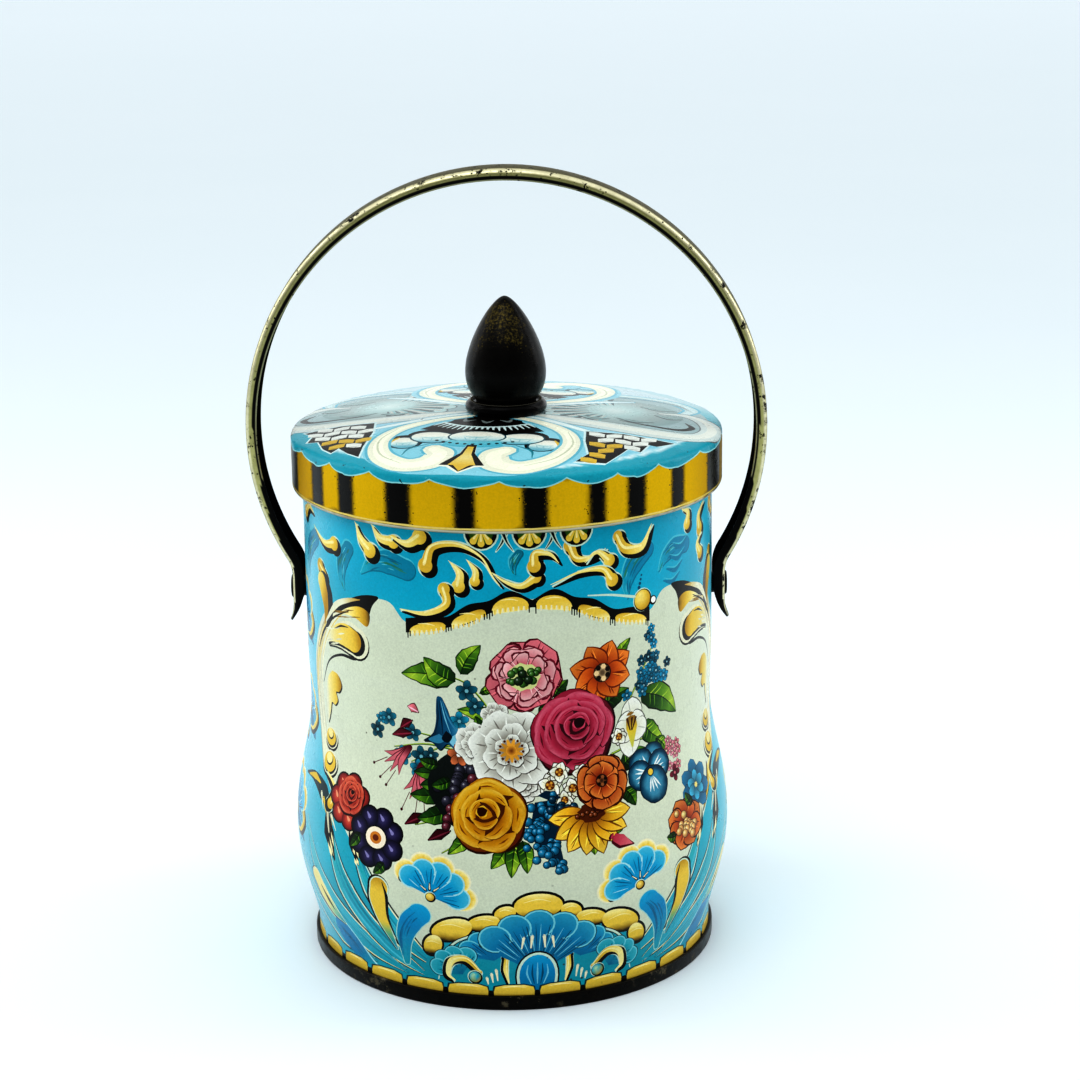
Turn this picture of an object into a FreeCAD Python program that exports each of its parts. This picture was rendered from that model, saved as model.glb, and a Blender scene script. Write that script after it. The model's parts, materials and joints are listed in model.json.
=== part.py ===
import FreeCAD, Part

import math
import os

# Lidded tinplate cookie tin with a bail handle, in millimetres.
# Frame: +Z up, origin at the middle of the base where the tin stands, bail pivots on the X axis line.
# Every physical piece is one solid, written to parts/NODE.step.

V = FreeCAD.Vector

# ---- driving dimensions -------------------------------------------------------------------------
SHEET = 0.3                 # tinplate thickness
CUT_REACH = 1.0             # how far a cutting solid goes past what it cuts

BODY_R = 51.5               # outside radius of the straight upper body
WAIST_R, WAIST_Z = 51.2, 67.0
BULGE_R, BULGE_Z = 55.85, 33.0
NECK_R, NECK_Z = 51.1, 6.5  # narrow neck just above the base seam
SHOULDER_Z = 82.0           # the body is a plain cylinder above this height
NECK_EASE, BULGE_EASE_BELOW = 5.5, 12.0      # how gently the side curves leave and arrive, along Z
BULGE_EASE_ABOVE, WAIST_EASE_BELOW = 14.0, 12.0
WAIST_EASE_ABOVE, SHOULDER_EASE = 5.0, 5.0
BODY_TOP = 135.3
BODY_CURL_R = 0.8           # radius of the curled-in top edge
BODY_CURL_TURN = 235        # degrees that edge is curled through
SEAM_WIDTH, SEAM_STEP = 4.0, 0.6   # inside band of the lock seam, at the back
SEAM_TOP_GAP = 2.0          # the band ends this far below the curl

RIM_R, RIM_H = 52.0, 3.6    # double seam that holds the base
RIM_FOLD = 1.5              # radial thickness of that seam
RIM_EDGE_R = 0.45           # its rounded edges
PANEL_Z = 2.6               # underside of the recessed base panel
WALL_REACH = 1.6            # the body wall goes this far below the panel, into the seam

LID_R = 54.0
LID_SKIRT_BOTTOM = 121.7
LID_EDGE_Z = 135.4          # where the rounded edge meets the domed top
LID_EDGE_R = 1.1
LID_CROWN_Z = 139.5         # top of the dome at the middle
LID_CURL_R = 0.95           # radius of the curled-in hem
LID_CURL_TURN = 235         # degrees the hem is curled through
SCREW_R = 1.6
SCREW_GAP = 0.1

COLLAR_R, COLLAR_H = 10.15, 2.9
COLLAR_FOOT_R = COLLAR_R - 0.7
COLLAR_BULGE_R = COLLAR_R + 0.4              # control radius of the rounded side
COLLAR_BULGE_LOW, COLLAR_BULGE_HIGH = 0.5, 0.4
COLLAR_LIP_R, COLLAR_LIP_T = 8.7, 0.3        # raised lip round the knob's foot
COLLAR_CUP = 0.5            # the knob stands this deep in the collar
KNOB_FOOT_R = 7.6
KNOB_FOOT_FLARE, KNOB_FOOT_RISE = 0.7, 1.6   # direction in which the side leaves the foot
KNOB_R, KNOB_WIDEST_Z = 10.1, 149.2
KNOB_EASE_BELOW, KNOB_EASE_ABOVE = 4.0, 7.8
KNOB_TOP, KNOB_TIP_R = 168.3, 3.0
KNOB_BORE_DEPTH = 12.0
SCREW_END_GAP = 1.0         # left free at the end of the bore
WASHER_R, WASHER_T = 6.5, 0.8
SCREW_HEAD_R, SCREW_HEAD_H = 3.1, 1.7
SCREW_HEAD_EDGE_R = 0.6
SCREW_SLOT_W, SCREW_SLOT_D = 0.8, 0.8

PIVOT_Z = 94.0
BAIL_WIDTH, BAIL_DEPTH, BAIL_SHEET = 10.0, 2.9, 0.5
BAIL_CORNER_R = 1.5         # outside corners of the channel
BAIL_ARCH_R, BAIL_ARCH_Z = 65.1, 135.3
BAIL_EAR_X = 54.75          # outside face of the flat ear at the pivot
BAIL_BEND_R = 8.0           # bend from the arch into the ear
EAR_FLAT_BELOW = 3.1        # the ear is flat this far below the pivot
EAR_FLARE_R, EAR_TIP_Z = 13.0, 85.2
FLANGE_END_Z = 91.5         # the flanges taper away from here to the tip
# side view of what is trimmed off the ear's flanges: inwards from the web's inside face, and height
EAR_TRIM = ((4.4, FLANGE_END_Z + 2.0), (4.4, EAR_TIP_Z - 3.0), (-2.2, EAR_TIP_Z - 3.0),
            (-0.6, EAR_TIP_Z + 1.5), (1.2, FLANGE_END_Z - 1.0))

RIVET_SHANK_R, RIVET_HOLE_GAP = 1.9, 0.06
RIVET_SHOULDER_R = 2.6
RIVET_HEAD_R, RIVET_HEAD_H, RIVET_HEAD_EDGE_R = 3.0, 0.55, 0.4
RIVET_TAIL_R = 1.5
RIVET_PLAY = 0.08           # gap on each side of the ear
BURR_R, BURR_T = 4.0, 0.7
BURR_GAP = 0.1              # between the washer and the inside of the wall
TAIL_PEEN_R, TAIL_PEEN_H = 2.3, 0.6


# ---- helpers ------------------------------------------------------------------------------------
def export(shape, node):
    """Writes one solid as parts/NODE.step and prints its size."""
    assert shape.isValid() and len(shape.Solids) == 1, node
    solid = shape.Solids[0]
    solid.exportStep(f"parts/{node}.step")
    box = solid.BoundBox
    print(f"{node}: volume {solid.Volume:.1f} z {box.ZMin:.2f}..{box.ZMax:.2f} "
          f"x {box.XMin:.2f}..{box.XMax:.2f}")


def revolve(edges):
    """Solid of revolution about Z of the closed outline that the edges make in the XZ plane."""
    face = Part.Face(Part.Wire(Part.__sortEdges__(edges)))
    return face.revolve(V(0, 0, 0), V(0, 0, 1), 360)


def line(a, b):
    return Part.LineSegment(V(a[0], 0, a[1]), V(b[0], 0, b[1])).toShape()


def arc(centre, radius, start_deg, end_deg):
    """Arc in the XZ plane through its middle, from start_deg to end_deg, 0 along +X and 90 along +Z."""
    def at(deg):
        t = math.radians(deg)
        return V(centre[0] + radius * math.cos(t), 0, centre[1] + radius * math.sin(t))
    return Part.Arc(at(start_deg), at((start_deg + end_deg) / 2), at(end_deg)).toShape()


def outline(points):
    """Closed straight-sided outline through (r, z) points."""
    return [line(a, b) for a, b in zip(points, points[1:] + points[:1])]


def bezier(start, control_1, control_2, end):
    """Cubic curve in the XZ plane from start to end, all given as (r, z)."""
    curve = Part.BezierCurve()
    curve.setPoles([V(r, 0, z) for r, z in (start, control_1, control_2, end)])
    return curve.toShape()


def swell(r0, z0, r1, z1, ease_0, ease_1):
    """Cubic from (r0, z0) to (r1, z1) that leaves and arrives along Z; the eases set how gently."""
    return bezier((r0, z0), (r0, z0 + ease_0), (r1, z1 - ease_1), (r1, z1))


def turned(solid_at_right):
    """The same solid on the left side of the tin."""
    copy = solid_at_right.copy()
    copy.rotate(V(0, 0, 0), V(0, 0, 1), 180)
    return copy


def rod(radius, x0, x1):
    """Cylinder on the pivot axis at the right side, from x0 to x1."""
    return Part.makeCylinder(radius, x1 - x0, V(x0, 0, PIVOT_Z), V(1, 0, 0))


# ---- body shell ---------------------------------------------------------------------------------
def body_wall(inset):
    """Side of the body from the neck up to the shoulder, inset inwards from the outside face."""
    return [
        swell(NECK_R - inset, NECK_Z, BULGE_R - inset, BULGE_Z, NECK_EASE, BULGE_EASE_BELOW),
        swell(BULGE_R - inset, BULGE_Z, WAIST_R - inset, WAIST_Z, BULGE_EASE_ABOVE, WAIST_EASE_BELOW),
        swell(WAIST_R - inset, WAIST_Z, BODY_R - inset, SHOULDER_Z, WAIST_EASE_ABOVE, SHOULDER_EASE),
    ]


def body_shell():
    """Drawn tube with a bulge near the base, a curled top edge and a lock seam at the back."""
    foot = PANEL_Z - WALL_REACH
    curl_z = BODY_TOP - BODY_CURL_R
    curl_c = (BODY_R - BODY_CURL_R, curl_z)
    inner = BODY_CURL_R - SHEET
    tip = math.radians(BODY_CURL_TURN)
    edges = [
        line((NECK_R - SHEET, foot), (NECK_R, foot)),
        line((NECK_R, foot), (NECK_R, NECK_Z)),
        *body_wall(0),
        line((BODY_R, SHOULDER_Z), (BODY_R, curl_z)),
        arc(curl_c, BODY_CURL_R, 0, BODY_CURL_TURN),
        line((curl_c[0] + BODY_CURL_R * math.cos(tip), curl_z + BODY_CURL_R * math.sin(tip)),
             (curl_c[0] + inner * math.cos(tip), curl_z + inner * math.sin(tip))),
        arc(curl_c, inner, BODY_CURL_TURN, 0),
        line((BODY_R - SHEET, curl_z), (BODY_R - SHEET, SHOULDER_Z)),
        *body_wall(SHEET),
        line((NECK_R - SHEET, NECK_Z), (NECK_R - SHEET, foot)),
    ]
    tube = revolve(edges)
    seam_top = curl_z - SEAM_TOP_GAP
    band = [
        *body_wall(SHEET / 2),
        line((BODY_R - SHEET / 2, SHOULDER_Z), (BODY_R - SHEET / 2, seam_top)),
        line((BODY_R - SHEET / 2, seam_top), (BODY_R - SHEET - SEAM_STEP, seam_top)),
        line((BODY_R - SHEET - SEAM_STEP, seam_top), (BODY_R - SHEET - SEAM_STEP, SHOULDER_Z)),
        *body_wall(SHEET + SEAM_STEP),
        line((NECK_R - SHEET - SEAM_STEP, NECK_Z), (NECK_R - SHEET / 2, NECK_Z)),
    ]
    seam_angle = math.degrees(SEAM_WIDTH / BODY_R)
    face = Part.Face(Part.Wire(Part.__sortEdges__(band)))
    face.rotate(V(0, 0, 0), V(0, 0, 1), 90 - seam_angle / 2)
    seam = face.revolve(V(0, 0, 0), V(0, 0, 1), seam_angle)
    shell = tube.fuse(seam)
    hole = rod(RIVET_TAIL_R, BODY_R - SHEET - CUT_REACH, BODY_R + CUT_REACH)
    return shell.cut(hole).cut(turned(hole))


# ---- base end -----------------------------------------------------------------------------------
def base_end():
    """Recessed base disc whose edge is folded round the foot of the body in a double seam."""
    foot = PANEL_Z - WALL_REACH
    wall_in = NECK_R - SHEET
    chuck = RIM_R - RIM_FOLD
    edge = RIM_EDGE_R
    panel_top = PANEL_Z + SHEET
    edges = [
        line((0, PANEL_Z), (chuck - 2 * edge, PANEL_Z)),
        arc((chuck - 2 * edge, PANEL_Z - edge), edge, 90, 0),
        line((chuck - edge, PANEL_Z - edge), (chuck - edge, edge)),
        arc((chuck, edge), edge, 180, 270),
        line((chuck, 0), (RIM_R - edge, 0)),
        arc((RIM_R - edge, edge), edge, 270, 360),
        line((RIM_R, edge), (RIM_R, RIM_H - edge)),
        arc((RIM_R - edge, RIM_H - edge), edge, 0, 90),
        line((RIM_R - edge, RIM_H), (NECK_R, RIM_H)),
        line((NECK_R, RIM_H), (NECK_R, foot)),
        line((NECK_R, foot), (wall_in, foot)),
        line((wall_in, foot), (wall_in, panel_top)),
        line((wall_in, panel_top), (0, panel_top)),
        line((0, panel_top), (0, PANEL_Z)),
    ]
    return revolve(edges)


# ---- lid ----------------------------------------------------------------------------------------
def dome_radius():
    span = LID_R - LID_EDGE_R
    rise = LID_CROWN_Z - LID_EDGE_Z
    return (span ** 2 + rise ** 2) / (2 * rise)


def dome_z(r):
    """Height of the lid's outside face at radius r."""
    big = dome_radius()
    return LID_CROWN_Z - big + math.sqrt(big ** 2 - r ** 2)


def dome_arc(r0, r1, drop):
    """Arc of the dome from radius r0 to r1, lowered by drop."""
    mid = (r0 + r1) / 2
    ends = [V(r, 0, dome_z(r) - drop) for r in (r0, mid, r1)]
    return Part.Arc(*ends).toShape()


def lid_shell():
    """Drawn lid: domed top, straight skirt and curled-in hem, with the knob screw's hole."""
    hole_r = SCREW_R + SCREW_GAP
    edge_r = LID_R - LID_EDGE_R
    corner = LID_EDGE_Z - LID_EDGE_R
    hem_z = LID_SKIRT_BOTTOM + LID_CURL_R
    hem_c = (LID_R - LID_CURL_R, hem_z)
    inner = LID_CURL_R - SHEET
    tip = math.radians(-LID_CURL_TURN)
    edges = [
        dome_arc(hole_r, edge_r, 0),
        arc((edge_r, corner), LID_EDGE_R, 90, 0),
        line((LID_R, corner), (LID_R, hem_z)),
        arc(hem_c, LID_CURL_R, 0, -LID_CURL_TURN),
        line((hem_c[0] + LID_CURL_R * math.cos(tip), hem_z + LID_CURL_R * math.sin(tip)),
             (hem_c[0] + inner * math.cos(tip), hem_z + inner * math.sin(tip))),
        arc(hem_c, inner, -LID_CURL_TURN, 0),
        line((LID_R - SHEET, hem_z), (LID_R - SHEET, corner)),
        arc((edge_r, corner), LID_EDGE_R - SHEET, 0, 90),
        dome_arc(edge_r, hole_r, SHEET),
        line((hole_r, dome_z(hole_r) - SHEET), (hole_r, dome_z(hole_r))),
    ]
    return revolve(edges)


def knob_collar():
    """Spun metal cup between the lid and the knob, with a thin raised lip."""
    bore = SCREW_R + SCREW_GAP
    seat = dome_z(COLLAR_FOOT_R)
    top = dome_z(0) + COLLAR_H
    cup = top - COLLAR_CUP
    lip_in = COLLAR_LIP_R - COLLAR_LIP_T
    edges = [
        dome_arc(bore, COLLAR_FOOT_R, 0),
        bezier((COLLAR_FOOT_R, seat), (COLLAR_BULGE_R, seat + COLLAR_BULGE_LOW),
               (COLLAR_BULGE_R, top - COLLAR_BULGE_HIGH), (COLLAR_LIP_R, top)),
        line((COLLAR_LIP_R, top), (lip_in, top)),
        line((lip_in, top), (lip_in, cup)),
        line((lip_in, cup), (bore, cup)),
        line((bore, cup), (bore, dome_z(bore))),
    ]
    return revolve(edges)


def knob():
    """Egg-shaped knob, widest low down, drawn to a small rounded tip, with a blind screw bore."""
    base_z = dome_z(0) + COLLAR_H - COLLAR_CUP
    edges = [
        line((0, base_z), (KNOB_FOOT_R, base_z)),
        bezier((KNOB_FOOT_R, base_z), (KNOB_FOOT_R + KNOB_FOOT_FLARE, base_z + KNOB_FOOT_RISE),
               (KNOB_R, KNOB_WIDEST_Z - KNOB_EASE_BELOW), (KNOB_R, KNOB_WIDEST_Z)),
        bezier((KNOB_R, KNOB_WIDEST_Z), (KNOB_R, KNOB_WIDEST_Z + KNOB_EASE_ABOVE),
               (KNOB_TIP_R, KNOB_TOP), (0, KNOB_TOP)),
        line((0, KNOB_TOP), (0, base_z)),
    ]
    bore = Part.makeCylinder(SCREW_R, KNOB_BORE_DEPTH, V(0, 0, base_z))
    return revolve(edges).cut(bore)


def knob_washer():
    """Flat washer under the lid."""
    top = dome_z(WASHER_R) - SHEET
    disc = Part.makeCylinder(WASHER_R, WASHER_T, V(0, 0, top - WASHER_T))
    bore_length = WASHER_T + 2 * CUT_REACH
    bore = Part.makeCylinder(SCREW_R + SCREW_GAP, bore_length, V(0, 0, top - WASHER_T - CUT_REACH))
    return disc.cut(bore)


def knob_screw():
    """Slotted pan-head screw from inside the lid into the knob."""
    head_top = dome_z(WASHER_R) - SHEET - WASHER_T
    thread_end = dome_z(0) + COLLAR_H - COLLAR_CUP + KNOB_BORE_DEPTH - SCREW_END_GAP
    root = head_top - SCREW_HEAD_H / 2
    shank = Part.makeCylinder(SCREW_R, thread_end - root, V(0, 0, root))
    head_bottom = head_top - SCREW_HEAD_H
    head = Part.makeCylinder(SCREW_HEAD_R, SCREW_HEAD_H, V(0, 0, head_bottom))
    rim = [e for e in head.Edges if abs(e.BoundBox.ZMax - head_bottom) < 1e-6]
    head = head.makeFillet(SCREW_HEAD_EDGE_R, rim)
    slot_half = SCREW_HEAD_R + CUT_REACH
    slot = Part.makeBox(2 * slot_half, SCREW_SLOT_W, SCREW_SLOT_D + CUT_REACH)
    slot.translate(V(-slot_half, -SCREW_SLOT_W / 2, head_bottom - CUT_REACH))
    return head.fuse(shank).cut(slot).removeSplitter()


# ---- bail ---------------------------------------------------------------------------------------
def bail_side(inset):
    """Edges of one side view line of the bail, from the left tip over the crown to the right tip."""
    big = BAIL_ARCH_R - inset
    bend = BAIL_BEND_R + inset
    flare = EAR_FLARE_R + inset
    ear_x = BAIL_EAR_X - inset
    cos_b = (BAIL_EAR_X + BAIL_BEND_R) / (BAIL_ARCH_R + BAIL_BEND_R)
    turn = math.degrees(math.acos(cos_b))
    bend_c = (BAIL_EAR_X + BAIL_BEND_R,
              BAIL_ARCH_Z - (BAIL_ARCH_R + BAIL_BEND_R) * math.sin(math.radians(turn)))
    flat_end = PIVOT_Z - EAR_FLAT_BELOW
    flare_c = (BAIL_EAR_X + EAR_FLARE_R, flat_end)
    flare_turn = math.degrees(math.asin((flat_end - EAR_TIP_Z) / EAR_FLARE_R))
    right = [
        arc((0, BAIL_ARCH_Z), big, 90, -turn),
        arc(bend_c, bend, 180 - turn, 180),
        line((ear_x, bend_c[1]), (ear_x, flat_end)),
        arc(flare_c, flare, 180, 180 + flare_turn),
    ]
    left = [edge.mirror(V(0, 0, 0), V(1, 0, 0)) for edge in right]
    tip = math.radians(180 + flare_turn)
    end = (flare_c[0] + flare * math.cos(tip), flare_c[1] + flare * math.sin(tip))
    return right + left, end


def bail_band(outer_inset, inner_inset, half_width):
    """The bail's side view between two insets, as a solid 2 * half_width wide."""
    outer, outer_end = bail_side(outer_inset)
    inner, inner_end = bail_side(inner_inset)
    ends = [line(outer_end, inner_end),
            line((-outer_end[0], outer_end[1]), (-inner_end[0], inner_end[1]))]
    face = Part.Face(Part.Wire(Part.__sortEdges__(outer + inner + ends)))
    face.translate(V(0, -half_width, 0))
    return face.extrude(V(0, 2 * half_width, 0))


def long_edges(solid, inset, half_width):
    """The edges of a bail band that run along its face at that inset."""
    found = []
    reach = BAIL_ARCH_R - inset
    for edge in solid.Edges:
        mid = edge.valueAt((edge.FirstParameter + edge.LastParameter) / 2)
        on_side = abs(abs(mid.y) - half_width) < 1e-6
        on_arch = abs(math.hypot(mid.x, mid.z - BAIL_ARCH_Z) - reach) < 1e-4
        if on_side and on_arch:
            found.append(edge)
    return found


def bail():
    """Bail handle rolled from strip into a channel, open side inwards, with rounded ears."""
    half = BAIL_WIDTH / 2
    block = bail_band(0, BAIL_DEPTH, half)
    block = block.makeFillet(BAIL_CORNER_R, long_edges(block, 0, half))
    hollow_half = half - BAIL_SHEET
    hollow = bail_band(BAIL_SHEET, BAIL_DEPTH + CUT_REACH, hollow_half)
    hollow = hollow.makeFillet(BAIL_CORNER_R - BAIL_SHEET, long_edges(hollow, BAIL_SHEET, hollow_half))
    channel = block.cut(hollow)
    channel = channel.cut(ear_trim())
    hole_r = RIVET_SHANK_R + RIVET_HOLE_GAP
    hole = rod(hole_r, BAIL_EAR_X - BAIL_SHEET - CUT_REACH, BAIL_EAR_X + CUT_REACH)
    return channel.cut(hole).cut(turned(hole))


def ear_trim():
    """What is cut from both ears: their flanges run out towards the tips, and the tips are round."""
    half = BAIL_WIDTH / 2
    side = half + CUT_REACH
    web_in = BAIL_EAR_X - BAIL_SHEET
    wedge_points = [(web_in - inwards, z) for inwards, z in EAR_TRIM]
    wedge = Part.Face(Part.Wire(outline(wedge_points))).extrude(V(0, 2 * side, 0))
    wedge.translate(V(0, -side, 0))
    reach = BAIL_DEPTH + CUT_REACH
    slab = Part.makeBox(2 * reach, 2 * side, side, V(BAIL_EAR_X - reach, -side, EAR_TIP_Z - CUT_REACH))
    disc_x = BAIL_EAR_X - reach - CUT_REACH
    disc = Part.makeCylinder(half, 2 * (reach + CUT_REACH), V(disc_x, 0, EAR_TIP_Z + half), V(1, 0, 0))
    corners = slab.cut(disc)
    right = wedge.fuse(corners)
    return right.fuse(turned(right))


# ---- rivets -------------------------------------------------------------------------------------
def rivet():
    """Shouldered rivet at the right: low head, bearing for the ear, shoulder, tail peened inside."""
    ear_in = BAIL_EAR_X - BAIL_SHEET - RIVET_PLAY
    ear_out = BAIL_EAR_X + RIVET_PLAY
    shoulder = rod(RIVET_SHOULDER_R, BODY_R - SHEET, ear_in)
    wall = Part.makeCylinder(BODY_R, 2 * BAIL_WIDTH, V(0, 0, PIVOT_Z - BAIL_WIDTH))
    shoulder = shoulder.cut(wall)
    shank = rod(RIVET_SHANK_R, ear_in - RIVET_HEAD_H, ear_out + RIVET_HEAD_H / 2)
    head = rod(RIVET_HEAD_R, ear_out, ear_out + RIVET_HEAD_H)
    rim = [e for e in head.Edges if abs(e.BoundBox.XMin - (ear_out + RIVET_HEAD_H)) < 1e-6]
    head = head.makeFillet(RIVET_HEAD_EDGE_R, rim)
    burr_in = BODY_R - SHEET - BURR_T - BURR_GAP
    tail = rod(RIVET_TAIL_R, burr_in - TAIL_PEEN_H / 2, BODY_R + RIVET_HEAD_H)
    peen = rod(TAIL_PEEN_R, burr_in - TAIL_PEEN_H, burr_in)
    return shoulder.fuse([shank, head, tail, peen]).removeSplitter()


def rivet_burr():
    """Small washer that the rivet's tail is peened over, inside the body at the right."""
    outer = BODY_R - SHEET - BURR_GAP
    ring = rod(BURR_R, outer - BURR_T, outer + CUT_REACH)
    inside = Part.makeCylinder(BODY_R - SHEET, 2 * BAIL_WIDTH, V(0, 0, PIVOT_Z - BAIL_WIDTH))
    ring = ring.common(inside)
    return ring.cut(rod(RIVET_TAIL_R, outer - BURR_T - CUT_REACH, outer + CUT_REACH))


os.makedirs("parts", exist_ok=True)
export(body_shell(), "body_shell")
export(base_end(), "base_end")
export(lid_shell(), "lid_shell")
export(knob_collar(), "knob_collar")
export(knob(), "knob")
export(knob_washer(), "knob_washer")
export(knob_screw(), "knob_screw")
export(bail(), "bail_handle")
export(rivet(), "bail_rivet_right")
export(turned(rivet()), "bail_rivet_left")
export(rivet_burr(), "rivet_washer_right")
export(turned(rivet_burr()), "rivet_washer_left")
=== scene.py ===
"""Looks of the lidded cookie tin: printed body and lid, base seam, knob, bail handle, floor and light.

Lengths are in millimetres until a mesh is made, and metres after that. The printed sheet is drawn flat, as
polygons on a chart, and the chart is then wrapped on the tin: along the girth and up for the body, outwards
from the middle for the lid.
"""
import json
import math

import bmesh
import bpy
import numpy as np
from mathutils import Matrix, Vector, geometry


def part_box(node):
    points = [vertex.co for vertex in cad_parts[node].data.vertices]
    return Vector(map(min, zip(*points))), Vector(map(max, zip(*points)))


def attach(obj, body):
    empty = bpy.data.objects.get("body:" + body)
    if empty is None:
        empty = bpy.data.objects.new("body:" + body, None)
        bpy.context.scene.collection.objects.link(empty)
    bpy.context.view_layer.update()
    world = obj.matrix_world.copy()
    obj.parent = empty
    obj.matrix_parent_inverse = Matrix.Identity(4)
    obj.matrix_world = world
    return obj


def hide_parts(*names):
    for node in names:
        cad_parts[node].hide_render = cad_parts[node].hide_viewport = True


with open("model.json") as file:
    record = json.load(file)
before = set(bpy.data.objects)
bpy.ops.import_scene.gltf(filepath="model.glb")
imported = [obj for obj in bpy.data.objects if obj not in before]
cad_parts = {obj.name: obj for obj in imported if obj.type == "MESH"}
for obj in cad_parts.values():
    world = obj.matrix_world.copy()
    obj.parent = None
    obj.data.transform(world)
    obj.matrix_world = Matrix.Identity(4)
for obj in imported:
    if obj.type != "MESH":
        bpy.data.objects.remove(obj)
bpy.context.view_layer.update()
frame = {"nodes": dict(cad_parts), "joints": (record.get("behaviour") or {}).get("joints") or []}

MM = 0.001
TAU = 2 * math.pi

# ---- sizes, in mm -------------------------------------------------------------------------------
SHEET = 0.3
BODY_R, WAIST_R, BULGE_R, NECK_R = 51.5, 51.2, 55.85, 51.1
NECK_Z, BULGE_Z, WAIST_Z, SHOULDER_Z = 6.5, 33.0, 67.0, 82.0
BODY_FOOT, BODY_TOP, BODY_CURL = 1.0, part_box("body_shell")[1].z / MM, 0.8
LID_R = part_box("lid_shell")[1].x / MM
LID_BOTTOM, LID_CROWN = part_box("lid_shell")[0].z / MM, 139.5
LID_EDGE_Z, LID_EDGE_R, LID_HEM_R = 135.4, 1.1, 0.95
LID_HOLE_R = 1.7
KNOB_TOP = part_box("knob")[1].z / MM
PIVOT_Z = frame["joints"][0]["pos_m"][2] / MM if frame["joints"][0]["name"] == "bail_swing" else 94.0

PRINT_R = 52.0                      # radius that the flat width of the print is measured at
HALF_WIDE = math.pi * PRINT_R       # flat width of one of the two equal prints round the body
VIEW_TURN = math.radians(1.7)       # the camera is turned this far from the bail's plane
PANEL_TURN = VIEW_TURN + 5.5 / PRINT_R   # and the middle of the front panel this far


# ---- meshes -------------------------------------------------------------------------------------
def link(obj):
    bpy.context.scene.collection.objects.link(obj)
    return obj


def mesh_object(name, points, faces, materials=(), smooth_deg=35.0):
    """An object from points in mm and faces as index lists. Edges sharper than smooth_deg stay sharp."""
    me = bpy.data.meshes.new(name)
    me.from_pydata([tuple(p) for p in np.asarray(points, float) * MM], [],
                   [tuple(int(i) for i in f) for f in faces])
    me.validate(clean_customdata=False)
    me.shade_smooth()
    me.set_sharp_from_angle(angle=math.radians(smooth_deg))
    for m in materials:
        me.materials.append(m)
    return link(bpy.data.objects.new(name, me))


def bezier(p0, p1, p2, p3, n):
    t = np.linspace(0, 1, n)[:, None]
    a, b, c, d = (np.array(p, float) for p in (p0, p1, p2, p3))
    return (1 - t) ** 3 * a + 3 * (1 - t) ** 2 * t * b + 3 * (1 - t) * t ** 2 * c + t ** 3 * d


def arc_points(centre, radius, start_deg, end_deg, n):
    t = np.radians(np.linspace(start_deg, end_deg, n))
    return np.stack([centre[0] + radius * np.cos(t), centre[1] + radius * np.sin(t)], 1)


def chain(*runs):
    """One line of (r, z) points out of several runs, without doubled points."""
    pts = np.concatenate([np.atleast_2d(np.array(r, float)) for r in runs])
    keep = np.concatenate([[True], np.linalg.norm(np.diff(pts, axis=0), axis=1) > 1e-6])
    return pts[keep]


def lathe(profile, segments, closed=True):
    """Points and faces of a profile of (r, z) points turned about Z. Ends at r = 0 become single points."""
    angles = np.arange(segments) / segments * TAU
    points, rows = [], []
    for r, z in profile:
        if r < 1e-6:
            rows.append([len(points)] * segments)
            points.append((0, 0, z))
        else:
            rows.append(list(range(len(points), len(points) + segments)))
            points += [(r * math.cos(a), r * math.sin(a), z) for a in angles]
    faces = []
    pairs = list(zip(rows, rows[1:])) + ([(rows[-1], rows[0])] if closed else [])
    for low, high in pairs:
        for i in range(segments):
            j = (i + 1) % segments
            loop = [low[i], low[j], high[j], high[i]]
            loop = [v for k, v in enumerate(loop) if v != loop[k - 1]]
            if len(loop) > 2:
                faces.append(loop)
    return points, faces


def turned_piece(name, profile, segments, material, smooth_deg=35.0, closed=False):
    points, faces = lathe(profile, segments, closed)
    return mesh_object(name, points, faces, [material], smooth_deg)


# ---- flat drawing: polygons with paint ----------------------------------------------------------
def rgb(*c):
    return np.array(c, float) / 255


class Sheet:
    """A flat drawing: polygons, later ones on top. Paint gives sRGB colour and how metallic it is."""

    def __init__(self, period=None):
        self.shapes = []
        self.period = period

    def add(self, pts, paint):
        pts = np.asarray(pts, float)
        self.shapes.append((pts, paint))
        if self.period:
            half = self.period / 2
            for shift in (-self.period, self.period):
                if (pts[:, 0].min() + shift < half) and (pts[:, 0].max() + shift > -half):
                    self.shapes.append((pts + [shift, 0], moved(paint, shift)))


def moved(paint, shift):
    return lambda p: paint(p - [shift, 0])


def flat(colour, metal=0.0):
    c = np.append(colour, metal)
    return lambda p: np.tile(c, (len(p), 1))


def stops_at(t, stops):
    """Colours at t out of [(t, colour, metal), ...]."""
    ts = [s[0] for s in stops]
    table = np.array([np.append(s[1], s[2] if len(s) > 2 else 0.0) for s in stops])
    return np.stack([np.interp(t, ts, table[:, k]) for k in range(4)], 1)


def ramp(a, b, stops):
    a, b = np.array(a, float), np.array(b, float)
    d = b - a
    return lambda p: stops_at((p - a) @ d / (d @ d), stops)


def radial(c, r, stops):
    c = np.array(c, float)
    return lambda p: stops_at(np.linalg.norm(p - c, axis=1) / r, stops)


def winding(x, y, poly):
    """Which points (x, y) lie inside the polygon, by winding number."""
    n = np.zeros(len(x), int)
    x0, y0 = poly[:, 0], poly[:, 1]
    x1, y1 = np.roll(x0, -1), np.roll(y0, -1)
    for a, b, c, d in zip(x0, y0, x1, y1):
        if b == d:
            continue
        side = (c - a) * (y - b) - (x - a) * (d - b)
        n += ((b <= y) & (y < d) & (side > 0)).astype(int) - ((d <= y) & (y < b) & (side < 0)).astype(int)
    return n != 0


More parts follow.
